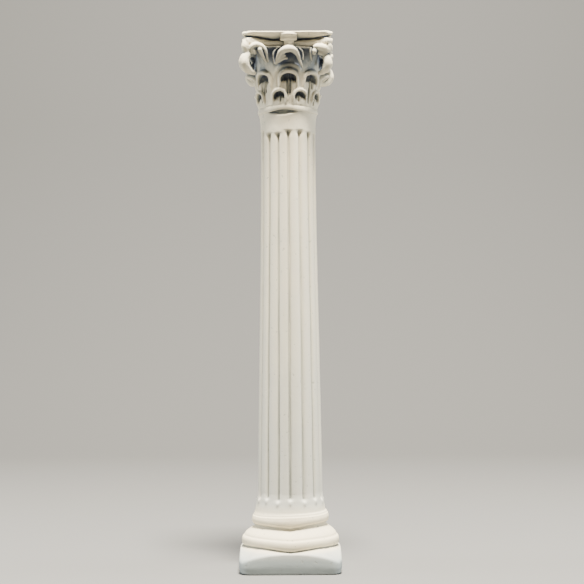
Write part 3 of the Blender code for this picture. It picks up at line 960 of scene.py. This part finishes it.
@dataclass
class Horseshoe:
    """A rim that runs up one leg, over an arch that juts out as a hood, and down the other.

    Attributes:
        sections: The rim's section, outside to inside. Each place has its inset in rim widths,
            its height along the legs in rim heights, its drop at the crown in hood heights and
            its reach in projections of the hood.
        leg_steps: Sections along each leg.
        arch_steps: Sections along the arch.
        leg_share: How far up the last of a leg's sections stands, as a share of its length.
    """

    foot: float
    top: float
    width: float
    hood: float
    projection: float
    rim_width: float
    rim_height: float
    embed: float = 1.4 * MM
    sections: tuple[tuple[float, float, float, float], ...] = (
        (0.00, -1.0, 0.05, -0.30), (0.02, 0.35, 0.00, 0.10), (0.12, 0.72, 0.08, 0.32),
        (0.30, 0.95, 0.30, 0.62), (0.52, 1.00, 0.66, 0.90), (0.75, 0.95, 1.02, 1.00),
        (0.92, 0.72, 1.30, 0.94), (1.05, 0.35, 1.52, 0.72), (1.10, 0.00, 1.62, 0.38),
        (1.12, -1.0, 1.50, -0.30))
    leg_steps: int = 7
    arch_steps: int = 25
    leg_share: float = 0.9

    def mesh(self, name: str, bell: Callable[[np.ndarray], np.ndarray]) -> bpy.types.Mesh:
        """Sweeps the rim's section along the legs and the arch.

        Args:
            name: Name of the new mesh.
            bell: Gives the bell's radius at a height.

        Returns:
            A closed mesh.
        """
        half = self.width / 2
        spring = self.top - half
        legs = [np.linspace(*ends, self.leg_steps)
                for ends in ((0, self.leg_share), (self.leg_share, 0))]
        arch = np.linspace(-math.pi / 2, math.pi / 2, self.arch_steps)
        stations = [(-1, level, None) for level in legs[0]]
        stations += [(1, None, angle) for angle in arch]
        stations += [(1, level, None) for level in legs[1]]
        rings = []
        for sign, level, angle in stations:
            ring = []
            for inset, leg_rise, drop, reach in self.sections:
                if angle is None:
                    z = self.foot + (spring - self.foot) * level
                    across = sign * (half - inset * self.rim_width)
                    rise = leg_rise * self.rim_height * (0.15 + 0.85 * ease(level / 0.7))
                else:
                    crown = math.cos(angle) ** 1.3
                    z = spring + (half - drop * self.hood) * math.cos(angle)
                    across = (half - inset * self.rim_width) * math.sin(angle)
                    rise = (1 - crown) * leg_rise * self.rim_height
                    rise += crown * reach * self.projection
                if leg_rise < 0:
                    rise = -self.embed
                radius = float(bell(z)) + rise
                ring.append(polar_points(np.float64(across / radius), np.float64(radius),
                                         np.float64(z)))
            rings.append(np.array(ring))
        return self.swept(name, rings)

    @staticmethod
    def swept(name: str, rings: Rows) -> bpy.types.Mesh:
        """Skins closed sections in order and caps both ends."""
        count = len(rings[0])
        faces = []
        for row in range(len(rings) - 1):
            for index in range(count):
                after = (index + 1) % count
                low, high = row * count, (row + 1) * count
                faces.append((low + index, high + index, high + after, low + after))
        top = (len(rings) - 1) * count
        faces.append(tuple(range(count)))
        faces.append(tuple(reversed(range(top, top + count))))
        return new_mesh(name, np.concatenate(rings).tolist(), faces)


@dataclass
class Abacus:
    """The slab on top, straight above and hollow-sided below, over a lip with its hollow plan.

    Attributes:
        half: Half the slab's width.
        sag_below: Hollow of the sides at the slab's foot.
        sag_above: Hollow of the sides at its top.
        corner_cut: Width of its cut corners.
        edge: How far its rounded edges stand in.
        crease: Depth of the crease between slab and lip.
        corner_lift: How far the lip and the slab's foot rise towards the corners.
        lip: Section of the lip: height above the bell and how far it stands in, in mm.
        crease_inset: How far the sides stand in where the crease starts.
        crease_rows: Section of the crease: height in mm and share of its depth.
        slab_steps: Rows round the slab's edge.
    """

    half: float = 22.5 * MM
    sag_below: float = 4.9 * MM
    sag_above: float = 0.7 * MM
    corner_cut: float = 3.5 * MM
    edge: float = 1.2 * MM
    crease: float = 2.0 * MM
    corner_lift: float = 0.9 * MM
    lip: tuple[tuple[float, float], ...] = (
        (-1.4, 2.4), (-1.0, 1.9), (-0.5, 0.9), (0.1, 0.2), (0.8, 0.0), (1.5, 0.1), (2.0, 0.6),
        (2.3, 1.4))
    crease_inset: float = 1.2 * MM
    crease_rows: tuple[tuple[float, float], ...] = ((-0.2, 0.75), (0.05, 1.0), (0.3, 0.75))
    slab_steps: int = 16

    @staticmethod
    def from_side(azimuth: np.ndarray) -> np.ndarray:
        """Returns each direction's angle from the middle of the nearest side."""
        return (azimuth + math.pi / 4) % (math.pi / 2) - math.pi / 4

    def outline(self, azimuth: np.ndarray, inset: float, sag: np.ndarray | float) -> np.ndarray:
        """Works out the plan of the slab at one level.

        Args:
            azimuth: Directions.
            inset: How far the sides stand in from the slab's widest.
            sag: Hollow of the sides.

        Returns:
            The distance from the axis in each direction.
        """
        half = self.half - inset
        end = half - self.corner_cut / math.sqrt(2)
        from_side = self.from_side(azimuth)
        curve = sag * np.sin(from_side) ** 2 / end ** 2
        straight = np.cos(from_side)
        root = np.sqrt(np.maximum(straight ** 2 - 4 * curve * (half - sag), 0))
        side = np.where(curve > 1e-4, (straight - root) / (2 * np.maximum(curve, 1e-9)),
                        (half - sag) / straight)
        corner = (2 * half - self.corner_cut / math.sqrt(2)) / math.sqrt(2)
        return np.minimum(side, corner / np.cos(math.pi / 4 - abs(from_side)))

    def rows(self, azimuth: np.ndarray) -> Rows:
        """Builds the slab from the lip above the scrolls to its top.

        Args:
            azimuth: Directions of the columns.

        Returns:
            Rows of points, bottom to top.
        """
        to_end = np.minimum(1, abs(np.tan(self.from_side(azimuth))))
        lift = self.corner_lift * to_end ** 1.6
        waver = 0.22 * MM * np.sin(7 * azimuth + 0.8) + 0.14 * MM * np.sin(17 * azimuth)
        rows = []
        for rise, inset in self.lip:
            reach = self.outline(azimuth, inset * MM, self.sag_below)
            z = LEVELS.bell + rise * MM + (lift + waver) * max(0, rise + 0.8) / 3.1
            rows.append(polar_points(azimuth, reach, z))
        low = LEVELS.fascia + 0.8 * MM + lift + waver
        for rise, share in self.crease_rows:
            inset = self.crease_inset + self.crease * share
            reach = self.outline(azimuth, inset, self.sag_below)
            rows.append(polar_points(azimuth, reach, low + rise * MM))
        low = low + 0.35 * MM
        for step in range(self.slab_steps + 1):
            angle = math.pi * (step / self.slab_steps - 0.5)
            level = (1 + math.sin(angle)) / 2
            sag = self.sag_below + (self.sag_above - self.sag_below) * ease(level * 1.1)
            bottom = 0.5 * self.crease * max(0.0, -math.sin(angle)) ** 6
            inset = self.edge * (1 - math.cos(angle)) * (0.6 if angle < 0 else 0.8) + bottom
            reach = self.outline(azimuth, inset, sag)
            rows.append(polar_points(azimuth, reach, low + (LEVELS.top - low) * level))
        return rows


Line = tuple[Band, ...]


def stroke(line: Line) -> Stroke:
    """Makes a stroke on the front face.

    Args:
        line: Places along it, in millimetres right of the middle, down from the top and out from
            the axis, each with the stroke's radius there.

    Returns:
        The stroke, in metres.
    """
    return Stroke(tuple((right * MM, -out * MM, LEVELS.top - down * MM, radius * MM)
                        for right, down, out, radius in line))


@dataclass(frozen=True)
class FaceOrnament:
    """What stands on each face of the capital, as lines drawn with the stroke tool.

    Attributes:
        left_scroll: A crescent that curls over a bead, with a lobe inside its outer horn.
        right_scroll: A bead under a heavy worn lump, with a thin stem on its inner side.
        palmette: The domed leaf in the middle, its thin outer ribs and the tongue inside it.
        ridges: Thin ridges from the scrolls to the palmette, under the lip.
        boss: The worn flower on the slab: soft folds one under the other.
    """

    left_scroll: tuple[Line, ...] = (
        ((-17.6, 11.0, 20.4, 0.6), (-18.0, 9.0, 21.0, 1.15), (-17.1, 7.4, 21.2, 1.35),
         (-15.2, 6.7, 20.9, 1.4), (-12.9, 7.2, 20.2, 1.3), (-11.2, 8.8, 19.6, 1.05),
         (-10.4, 11.4, 18.8, 0.8), (-9.4, 14.6, 17.3, 0.5)),
        ((-16.8, 8.4, 19.8, 1.3), (-16.6, 9.6, 20.4, 1.5), (-16.0, 11.0, 19.8, 1.1)),
        ((-13.8, 8.7, 20.4, 1.1), (-13.7, 9.3, 21.3, 1.2), (-13.1, 10.4, 20.5, 0.95),
         (-11.9, 12.6, 19.2, 0.75), (-10.3, 15.0, 17.4, 0.45)),
        ((-14.4, 10.6, 18.6, 1.1), (-12.4, 9.6, 18.4, 1.1), (-11.6, 11.2, 17.8, 0.9)))
    right_scroll: tuple[Line, ...] = (
        ((12.9, 8.2, 19.8, 1.1), (14.8, 7.9, 20.3, 1.7), (17.0, 8.3, 20.6, 2.1),
         (19.2, 9.0, 20.2, 2.0), (20.2, 10.6, 19.6, 1.3)),
        ((15.2, 10.2, 20.0, 1.2), (17.2, 10.9, 20.2, 1.3), (19.2, 11.3, 19.6, 1.1)),
        ((13.4, 9.2, 20.0, 1.1), (13.3, 10.2, 21.0, 1.2), (13.0, 11.4, 20.0, 0.9)),
        ((12.2, 8.0, 19.2, 0.8), (11.6, 9.4, 19.2, 0.7), (11.6, 11.6, 18.6, 0.7),
         (12.0, 14.0, 17.4, 0.45)),
        ((13.2, 8.6, 17.8, 1.0), (14.4, 11.0, 17.6, 1.0)))
    palmette: tuple[Line, ...] = (
        ((-5.6, 15.9, 17.6, 0.5), (-5.0, 13.5, 18.8, 1.0), (-3.7, 11.0, 20.0, 1.5),
         (-1.7, 9.3, 21.0, 1.75), (0.7, 8.8, 21.4, 1.8), (2.9, 9.2, 21.0, 1.6),
         (4.6, 10.8, 20.0, 1.2), (5.6, 13.2, 18.9, 0.85), (6.6, 15.6, 18.0, 0.6),
         (7.4, 17.8, 17.2, 0.4)),
        ((-3.0, 9.6, 18.8, 1.4), (0.7, 8.2, 19.2, 1.4), (4.0, 10.2, 18.8, 1.2)),
        ((-3.9, 13.6, 18.0, 1.2), (-2.6, 12.0, 18.6, 1.6), (-1.2, 10.9, 19.2, 1.5)),
        ((-5.1, 15.0, 17.8, 0.55), (-3.0, 13.8, 18.6, 0.7), (-1.2, 13.0, 19.2, 0.8),
         (0.1, 13.2, 19.5, 0.6)),
        ((-4.4, 7.5, 18.6, 0.45), (-6.2, 9.0, 18.5, 0.5), (-7.0, 11.0, 18.3, 0.5),
         (-6.9, 13.4, 17.9, 0.45), (-6.4, 15.6, 17.4, 0.35)),
        ((5.4, 7.6, 18.6, 0.45), (7.1, 9.4, 18.5, 0.5), (7.8, 11.4, 18.3, 0.5),
         (7.6, 14.0, 17.8, 0.45)),
        ((-4.8, 18.4, 14.9, 1.5), (-2.2, 16.6, 15.6, 1.8), (1.2, 16.0, 15.8, 1.9),
         (4.4, 16.8, 15.6, 1.8), (6.0, 18.6, 14.9, 1.4)))
    ridges: tuple[Line, ...] = (
        ((-11.6, 7.4, 19.0, 0.55), (-8.0, 7.1, 18.4, 0.5), (-3.2, 7.3, 18.6, 0.6)),
        ((4.0, 7.4, 18.6, 0.6), (8.4, 7.6, 18.4, 0.5), (12.2, 8.2, 19.0, 0.55)))
    boss: tuple[Line, ...] = (
        ((-3.2, 1.6, 20.0, 1.3), (0.6, 1.4, 20.6, 1.35), (4.4, 1.6, 20.0, 1.3)),
        ((-3.3, 3.2, 19.2, 1.3), (0.6, 3.1, 19.9, 1.4), (4.5, 3.2, 19.2, 1.3)),
        ((-1.6, 4.8, 18.6, 1.1), (0.7, 4.9, 19.2, 1.25), (3.0, 4.8, 18.6, 1.1)),
        ((-1.6, 6.3, 18.4, 1.0), (0.7, 6.6, 19.0, 1.2), (3.0, 6.3, 18.4, 1.0)))

    def strokes(self) -> list[Stroke]:
        """Returns all strokes of one face."""
        lines = self.left_scroll + self.right_scroll + self.palmette + self.ridges + self.boss
        return [stroke(line) for line in lines]


@dataclass
class CornerOrnament:
    """What stands at each corner: a short roll below the slab over a drooping leaf.

    Attributes:
        azimuths: Directions of the two corners that are alike, in degrees from the front.
        roll: Distance from the axis, distance below the top and radius along the roll, in mm.
        leaf: The same along the leaf.
    """

    azimuths: tuple[float, float]
    roll: tuple[tuple[float, float, float], ...]
    leaf: tuple[tuple[float, float, float], ...]

    def strokes(self) -> list[Stroke]:
        """Returns the strokes of one corner, drawn towards the front."""
        return [stroke(tuple((0.0, down, out, radius) for out, down, radius in line))
                for line in (self.roll, self.leaf)]


class Capital:
    """Collar, bell, leaves, scrolls and abacus, melted into one skin."""

    def __init__(self, material: bpy.types.Material) -> None:
        """Sets out the members and the tools that copy them."""
        self.collar_radius = 15.25 * MM
        self.collar_steps = 8
        self.collar_lift = 1.0 * MM
        self.lift_azimuth = math.radians(-11)
        self.lift_width = math.radians(24)
        self.foot_radius = 15.0 * MM
        self.flare = 2.3 * MM
        self.spread_height = 12.6 * MM
        self.spread_power = 2.2
        self.spread_share = 0.9
        self.plan_inset = 2.6 * MM
        self.columns = 440
        self.bell_rows = 84
        self.spread_rows = 40
        self.voxel = 0.21 * MM
        self.passes = 2
        self.triangles = 128000
        self.fine_ribs = 66
        self.fine_rib_depth = 0.16 * MM
        self.copier = RoundCopies(material)
        self.pen = StrokeTool(material)
        self.abacus = Abacus()
        self.upper = LeafTier(
            foot=LEVELS.collar - 1.0 * MM, top=LEVELS.collar + 17.5 * MM, width=10.3 * MM,
            hood=1.8 * MM, projection=4.6 * MM, worn_projection=2.3 * MM,
            azimuths=(1.5, 45.5, 312.5, 90.0, 134.0, 181.0, 226.0, 269.5), worn=3,
            grooves=((-2.5, 9.0, 1.6), (-0.8, 14.6, 1.9), (1.3, 13.0, 1.9), (3.0, 9.4, 1.6)),
            recess=3.1 * MM, recess_depth=2.3 * MM, rim_foot=LEVELS.collar + 6.6 * MM)
        self.lower = LeafTier(
            foot=LEVELS.collar - 0.6 * MM, top=LEVELS.collar + 7.8 * MM, width=8.2 * MM,
            hood=1.15 * MM, projection=2.4 * MM, worn_projection=1.5 * MM,
            azimuths=(-16.3, 23.3, 64.5, 296.5, 111.0, 156.0, 200.0, 248.0), worn=4,
            grooves=((-2.4, 7.6, 1.4), (-0.8, 6.2, 1.0), (0.9, 7.2, 1.3), (2.4, 6.4, 1.2)),
            recess=1.7 * MM, recess_depth=2.0 * MM, rim_foot=LEVELS.collar - 0.6 * MM)
        self.corners = (
            CornerOrnament(azimuths=(-45.0, 135.0),
                           roll=((28.6, 5.0, 1.8), (29.3, 7.6, 2.1), (28.5, 10.4, 1.6)),
                           leaf=((24.4, 9.4, 1.4), (27.4, 11.2, 1.9), (29.8, 13.4, 2.4),
                                 (30.4, 15.8, 2.7), (29.0, 18.0, 2.3), (26.6, 19.3, 1.7),
                                 (23.2, 20.0, 1.1))),
            CornerOrnament(azimuths=(45.0, -135.0),
                           roll=((27.6, 5.0, 1.7), (28.0, 7.8, 2.0), (27.6, 10.4, 1.6)),
                           leaf=((23.4, 10.4, 1.2), (26.0, 12.0, 1.7), (27.9, 14.0, 2.1),
                                 (28.2, 16.4, 2.3), (27.0, 18.4, 2.0), (24.8, 19.6, 1.4),
                                 (22.0, 20.0, 1.0))),
        )

    def bell(self, z: np.ndarray | float) -> np.ndarray | float:
        """Returns the radius of the round bell at a height."""
        share = np.clip((z - LEVELS.collar) / (LEVELS.bell - LEVELS.collar), 0, 1)
        return self.foot_radius + self.flare * np.sin(math.pi / 2 * share)

    def core(self) -> bpy.types.Mesh:
        """Returns the collar, the ribbed bell and the abacus as one closed grid."""
        azimuth = np.arange(self.columns) * TAU / self.columns
        rows = self.collar_rows(azimuth)
        start = LEVELS.bell - self.spread_height
        heights = np.concatenate([
            np.linspace(LEVELS.collar - 0.6 * MM, start, self.bell_rows, endpoint=False),
            np.linspace(start, LEVELS.bell - 1.9 * MM, self.spread_rows)])
        plan = self.abacus.outline(azimuth, self.plan_inset, self.abacus.sag_below)
        for z in heights:
            height = np.full_like(azimuth, z)
            radius = self.bell(height)
            upper, _ = self.upper.relief(azimuth, height, radius)
            lower, below = self.lower.relief(azimuth, height, radius)
            relief = lower * below + upper * (1 - below)
            ribbed = ease((z - LEVELS.collar) / (2 * MM)) * ease((start - z) / (3 * MM))
            wave = np.sin(self.fine_ribs * azimuth / 2) ** 2
            relief = relief - self.fine_rib_depth * ribbed * wave
            share = max(0.0, (z - start) / self.spread_height)
            radius = radius + (plan - radius) * self.spread_share * share ** self.spread_power
            rows.append(polar_points(azimuth, radius + relief, height))
        rows += self.abacus.rows(azimuth)
        return close_rows("capital_core", rows)

    def collar_rows(self, azimuth: np.ndarray) -> Rows:
        """Builds the collar, whose lower edge waves and lifts at the front."""
        lift = self.collar_lift * bump(wrapped(azimuth - self.lift_azimuth), self.lift_width)
        low = LEVELS.neck + lift + 0.15 * MM * np.sin(3 * azimuth + 1.0)
        rows = [polar_points(azimuth, 12.0 * MM, low + 0.6 * MM),
                polar_points(azimuth, self.collar_radius - 1.1 * MM, low + 0.25 * MM)]
        for step in range(self.collar_steps + 1):
            angle = math.pi * (step / self.collar_steps - 0.5)
            reach = self.collar_radius - 0.75 * MM * (1 - math.cos(angle) ** 0.7)
            rows.append(polar_points(azimuth, reach, low + 1.35 * MM * (1 + math.sin(angle))))
        return rows

    def mesh(self) -> bpy.types.Mesh:
        """Returns the finished capital."""
        parts = [self.core()]
        for tier in (self.upper, self.lower):
            parts += tier.rims(self.bell, self.copier)
        face = self.pen.bars("face_ornament", FaceOrnament().strokes())
        parts.append(self.copier.copies(face, np.radians([0.0, 90.0, 180.0, 270.0])))
        for corner in self.corners:
            bars = self.pen.bars("corner_ornament", corner.strokes())
            parts.append(self.copier.copies(bars, np.radians(corner.azimuths)))
        whole = Workshop.joined("capital", parts)
        return Workshop.thinned(Workshop.melted(whole, self.voxel, self.passes), self.triangles)


@dataclass(frozen=True)
class PlasterFinish:
    """Dry cast plaster: pale, matte, a little mottled, darkened by painted shade in its hollows.

    Attributes:
        pale: Colour near the top and on the base's rolls.
        foot_shade: Painted shade near the foot, greyer and duller than the plaster.
        low: Painted shade on the plinth's sides, blue-grey as a painted reflection.
        blush: Colour of the faint stains.
        dust_and_shade: Painted shade in half-shut hollows, and the colour of pits.
        shade: Painted shade in the most shut hollows, its blue a painted reflection.
        rolls: Heights of the base's rolls, kept pale as painted light against the foot's shade.
        plinth: Heights between which the plinth's painted shade comes in, downwards.
        slab_shadow: Heights behind the scrolls where the slab's shadow is painted.
        lip: Heights of the lip under the slab, where less painted shade is laid.
        stained: How strong the stains' noise is where they start, and where they are full.
        pitted: The same for the pits.
        half_shaded: How shut in a place is where the lighter painted shade starts, and where it
            is full.
        shaded: The same for the darker painted shade.
        scales: Cells to the metre of the clouds, stains, pits, specks and grain.
    """

    pale: Colour = (0.85, 0.75, 0.53)
    foot_shade: Colour = (0.54, 0.545, 0.49)
    low: Colour = (0.29, 0.34, 0.355)
    blush: Colour = (0.66, 0.565, 0.50)
    dust_and_shade: Colour = (0.30, 0.31, 0.27)
    shade: Colour = (0.115, 0.135, 0.185)
    rolls: Band = (0.0098, 0.0112, 0.0270, 0.0330)
    plinth: tuple[float, float] = (0.0105, 0.0065)
    slab_shadow: Band = (0.2455, 0.2485, 0.2592, 0.2602)
    lip: Band = (0.2596, 0.2606, 0.2622, 0.2632)
    stained: tuple[float, float] = (0.62, 0.80)
    pitted: tuple[float, float] = (0.70, 0.76)
    half_shaded: tuple[float, float] = (0.24, 0.56)
    shaded: tuple[float, float] = (0.50, 0.86)
    scales: tuple[float, float, float, float, float] = (45.0, 85.0, 620.0, 900.0, 2600.0)
    roughness: float = 0.82
    bump_depth: float = 0.2 * MM

    def colour(self, graph: Graph, factor: Any, first: Any, second: Any) -> Socket:
        """Mixes two colours by a factor."""
        ends = [end if isinstance(end, Socket) else (*end, 1.0) for end in (first, second)]
        return graph.add("ShaderNodeMix", {"data_type": "RGBA"},
                         {0: factor, 6: ends[0], 7: ends[1]}, 2)

    def noise(self, graph: Graph, place: Socket, scale: float, detail: float) -> Socket:
        """Returns cloudy noise of so many cells to the metre."""
        return graph.add("ShaderNodeTexNoise", {}, {"Vector": place, "Scale": scale,
                                                    "Detail": detail, "Roughness": 0.55}, "Fac")

    def material(self) -> bpy.types.Material:
        """Builds the material."""
        made = bpy.data.materials.new("plaster")
        made.use_nodes = True
        graph = Graph(made.node_tree)
        place = graph.add("ShaderNodeTexCoord", output="Object")
        # How shut in each point is, from which shade is painted below.
        hollow = graph.add("ShaderNodeAttribute", {"attribute_name": "hollow"}, output="Fac")
        cloud_scale, stain_scale, pit_scale, speck_scale, grain_scale = self.scales
        clouds = self.noise(graph, place, cloud_scale, 3.0)
        specks = self.noise(graph, place, speck_scale, 2.0)
        grain = self.noise(graph, place, grain_scale, 3.0)
        height = graph.add("ShaderNodeSeparateXYZ", {}, {0: place}, "Z")
        # Painted shade and light by height: duller towards the foot, pale on the base's rolls.
        painted_light_by_height = height.between(0.0, 0.24) + height.within(self.rolls)
        base = self.colour(graph, (painted_light_by_height * 0.75 + (clouds - 0.5) * 0.5).between(0.0, 1.0),
                           self.foot_shade, self.pale)
        stain = self.noise(graph, place, stain_scale, 1.0).between(*self.stained)
        base = self.colour(graph, stain * 0.35, base, self.blush)
        # Painted shade on the plinth's sides, blue-grey as a painted reflection.
        base = self.colour(graph, height.between(*self.plinth) * 0.8, base, self.low)
        # Painted shade: how shut in a point is, plus the slab's painted shadow, less on the lip.
        painted_shade_mask = hollow + height.within(self.slab_shadow) * 0.3 - height.within(self.lip) * 0.25
        # Painted shade in two steps; the darker is blue-grey as a painted reflection.
        half_shaded = self.colour(graph, painted_shade_mask.between(*self.half_shaded), base, self.dust_and_shade)
        shaded = self.colour(graph, painted_shade_mask.between(*self.shaded), half_shaded, self.shade)
        pits = self.noise(graph, place, pit_scale, 1.0).between(*self.pitted)
        shaded = self.colour(graph, pits * 0.55, shaded, self.dust_and_shade)
        roughness = (specks - 0.5) * 0.12 + self.roughness
        relief = grain * 0.25 + specks * 0.45 + clouds * 0.8 - pits
        bump_node = graph.add("ShaderNodeBump", {}, {
            "Strength": 0.3, "Distance": self.bump_depth, "Height": relief})
        shader = graph.add("ShaderNodeBsdfPrincipled", {}, {
            "Base Color": shaded, "Roughness": roughness, "Normal": bump_node,
            "Specular IOR Level": 0.3})
        graph.node("ShaderNodeOutputMaterial", {}, {"Surface": shader})
        return made


class Casting:
    """The whole column as one piece.

    Attributes:
        rays: How many ways each point looks to see how shut in it is.
        reach: How far it looks.
        clear: How far off the surface it starts.
        lumps: Cells to the millimetre of the surface's lumps, their height in mm everywhere and
            how much the capital adds to it, for the broad ones and the fine ones.
        carved_from: Height in mm at which the capital starts to add to them.
        carved_over: Height in mm over which it comes to add all.
    """

    def __init__(self, finish: PlasterFinish) -> None:
        """Keeps the finish and makes its material."""
        self.material = finish.material()
        self.rays = 22
        self.reach = 12 * MM
        self.clear = 0.05 * MM
        self.lumps = ((0.42, 0.05, 0.17, Vector((0, 0, 0))),
                      (1.05, 0.015, 0.085, Vector((7, 3, 1))))
        self.carved_from = 228
        self.carved_over = 6

    def build(self) -> bpy.types.Object:
        """Unites the halves, stores occlusion for painted shade and puts the piece in the scene.
        """
        lower = LowerBody().mesh()
        LOG.info("lower body: %d faces", len(lower.polygons))
        capital = Capital(self.material).mesh()
        LOG.info("capital: %d faces", len(capital.polygons))
        mesh = Workshop.united(lower, capital)
        Workshop.drop_slivers(mesh)
        mesh.name = "column_cast"
        self.roughen(mesh)
        self.shrink_to_frame(mesh)
        mesh.materials.clear()
        mesh.materials.append(self.material)
        mesh.shade_smooth()
        self.tone(mesh)
        piece = placed("column_cast", mesh)
        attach(piece, "root")
        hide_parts(NODE)
        return piece

    def roughen(self, mesh: bpy.types.Mesh) -> None:
        """Makes the surface a little lumpy, as a cast from a worn mould: most on the capital."""
        points = points_of(mesh)
        normals = np.array([vertex.normal[:] for vertex in mesh.vertices])
        carved = ease((points[:, 2] / MM - self.carved_from) / self.carved_over)
        places = [Vector(point) for point in (points / MM).tolist()]
        lumps = sum(np.array([noise.noise(place * scale + shift) for place in places])
                    * (plain + more * carved) for scale, plain, more, shift in self.lumps)
        move_points(mesh, points + normals * (lumps * MM)[:, None])

    def shrink_to_frame(self, mesh: bpy.types.Mesh) -> None:
        """Keeps every point inside the frame's box."""
        low, high = (np.array(corner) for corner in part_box(NODE))
        move_points(mesh, np.clip(points_of(mesh), low, high))

    def directions(self) -> np.ndarray:
        """Returns directions spread evenly over half a sphere round +Z, most near its pole."""
        step = np.arange(self.rays) + 0.5
        rise = np.sqrt(1 - step / self.rays)
        turn = step * math.pi * (3 - math.sqrt(5))
        flat = np.sqrt(1 - rise ** 2)
        return np.stack([flat * np.cos(turn), flat * np.sin(turn), rise], 1)

    def tone(self, mesh: bpy.types.Mesh) -> None:
        """Stores at each point how shut in it is, from 0 in the open to 1, for painted shade."""
        tree = BVHTree.FromPolygons([v.co for v in mesh.vertices],
                                    [tuple(face.vertices) for face in mesh.polygons])
        spread = [Vector(direction) for direction in self.directions()]
        values = np.zeros(len(mesh.vertices), np.float32)
        for index, vertex in enumerate(mesh.vertices):
            normal = vertex.normal
            turn = normal.to_track_quat("Z", "Y")
            start = vertex.co + normal * self.clear
            shut = 0.0
            for direction in spread:
                distance = tree.ray_cast(start, turn @ direction, self.reach)[3]
                if distance is not None:
                    shut += 1 - (distance / self.reach) ** 2
            values[index] = shut / self.rays
        LOG.info("hollows: mean %.3f, most %.3f", values.mean(), values.max())
        store(mesh, "hollow", values)


@dataclass(frozen=True)
class Lamp:
    """A square soft light that looks at the middle of the column.

    Attributes:
        place: Where it hangs.
        size: Length of its side.
        watts: Its power.
    """

    name: str
    place: Place
    size: float
    watts: float
    colour: Colour

    def build(self) -> None:
        """Hangs the light."""
        data = bpy.data.lights.new(self.name, "AREA")
        data.size = self.size
        data.energy = self.watts
        data.color = self.colour
        thing = placed(self.name, data)
        thing.location = self.place
        aim = Vector((0, 0, LEVELS.top / 2)) - Vector(self.place)
        thing.rotation_euler = aim.to_track_quat("-Z", "Y").to_euler()


@dataclass
class Studio:
    """Plain pale floor and backdrop, three soft lights and the camera.

    Attributes:
        distance: Of the camera from the column's axis.
        eye_height: Height of the camera.
        image_centre_height: Height at which the camera looks.
        lean: Turn of the camera about its line of sight, which makes the column lean.
        aside: How far to the right the camera stands.
        back: How far behind the column the backdrop stands.
        bend: Radius of the bend between floor and backdrop.
        bend_steps: Sides of that bend.
    """

    distance: float = 0.695
    eye_height: float = 0.1261
    image_centre_height: float = 0.13855
    field_of_view: float = math.radians(24.05)
    lean: float = math.radians(-0.35)
    aside: float = 0.0015
    floor_colour: Colour = (0.17, 0.17, 0.168)
    floor_roughness: float = 0.9
    sky_colour: Colour = (0.5, 0.65, 1.0)
    sky_strength: float = 0.03
    back: float = 0.9
    bend: float = 0.35
    bend_steps: int = 12
    half_width: float = 1.6
    front: float = -1.0
    back_height: float = 1.5
    lamps: tuple[Lamp, ...] = (
        Lamp("top_light", (0.05, -0.22, 1.06), 0.22, 82.0, (1.0, 0.93, 0.79)),
        Lamp("left_light", (-0.80, 0.0, 0.30), 0.25, 6.0, (0.92, 0.97, 1.0)),
        Lamp("right_light", (0.80, 0.0, 0.30), 0.25, 6.0, (0.92, 0.97, 1.0)))

    def floor(self) -> None:
        """Builds the floor, which curves up into a backdrop."""
        profile = [(self.front, 0.0), (self.back - self.bend, 0.0)]
        for step in range(1, self.bend_steps + 1):
            angle = math.pi / 2 * step / self.bend_steps
            profile.append((self.back - self.bend + self.bend * math.sin(angle),
                            self.bend * (1 - math.cos(angle))))
        profile.append((self.back, self.back_height))
        points = [(x, y, z) for y, z in profile for x in (-self.half_width, self.half_width)]
        faces = [(2 * row, 2 * row + 1, 2 * row + 3, 2 * row + 2)
                 for row in range(len(profile) - 1)]
        mesh = new_mesh("floor", points, faces)
        mesh.shade_smooth()
        material = bpy.data.materials.new("floor")
        material.use_nodes = True
        shader = material.node_tree.nodes["Principled BSDF"]
        shader.inputs["Base Color"].default_value = (*self.floor_colour, 1.0)
        shader.inputs["Roughness"].default_value = self.floor_roughness
        mesh.materials.append(material)
        placed("floor", mesh)

    def camera(self) -> None:
        """Sets up the camera where the photograph was taken from."""
        lens = bpy.data.cameras.new("camera")
        lens.sensor_width = 36.0
        lens.lens = lens.sensor_width / 2 / math.tan(self.field_of_view / 2)
        eye = placed("camera", lens)
        eye.location = (self.aside, -self.distance, self.eye_height)
        aim = Vector((self.aside, 0, self.image_centre_height)) - eye.location
        turn = aim.to_track_quat("-Z", "Y").to_matrix().to_4x4()
        eye.rotation_euler = (turn @ Matrix.Rotation(self.lean, 4, "Z")).to_euler()
        bpy.context.scene.camera = eye

    def build(self) -> None:
        """Builds the studio."""
        self.floor()
        for lamp in self.lamps:
            lamp.build()
        world = bpy.data.worlds.new("studio")
        world.use_nodes = True
        sky = world.node_tree.nodes["Background"]
        sky.inputs["Color"].default_value = (*self.sky_colour, 1.0)
        sky.inputs["Strength"].default_value = self.sky_strength
        bpy.context.scene.world = world
        self.camera()


def main() -> None:
    """Builds the column and the studio."""
    logging.basicConfig(level=logging.INFO, format="%(name)s: %(message)s")
    piece = Casting(PlasterFinish()).build()
    triangles = sum(len(face.vertices) - 2 for face in piece.data.polygons)
    LOG.info("%s: %d triangles", piece.name, triangles)
    Studio().build()


if __name__ == "__main__":
    main()
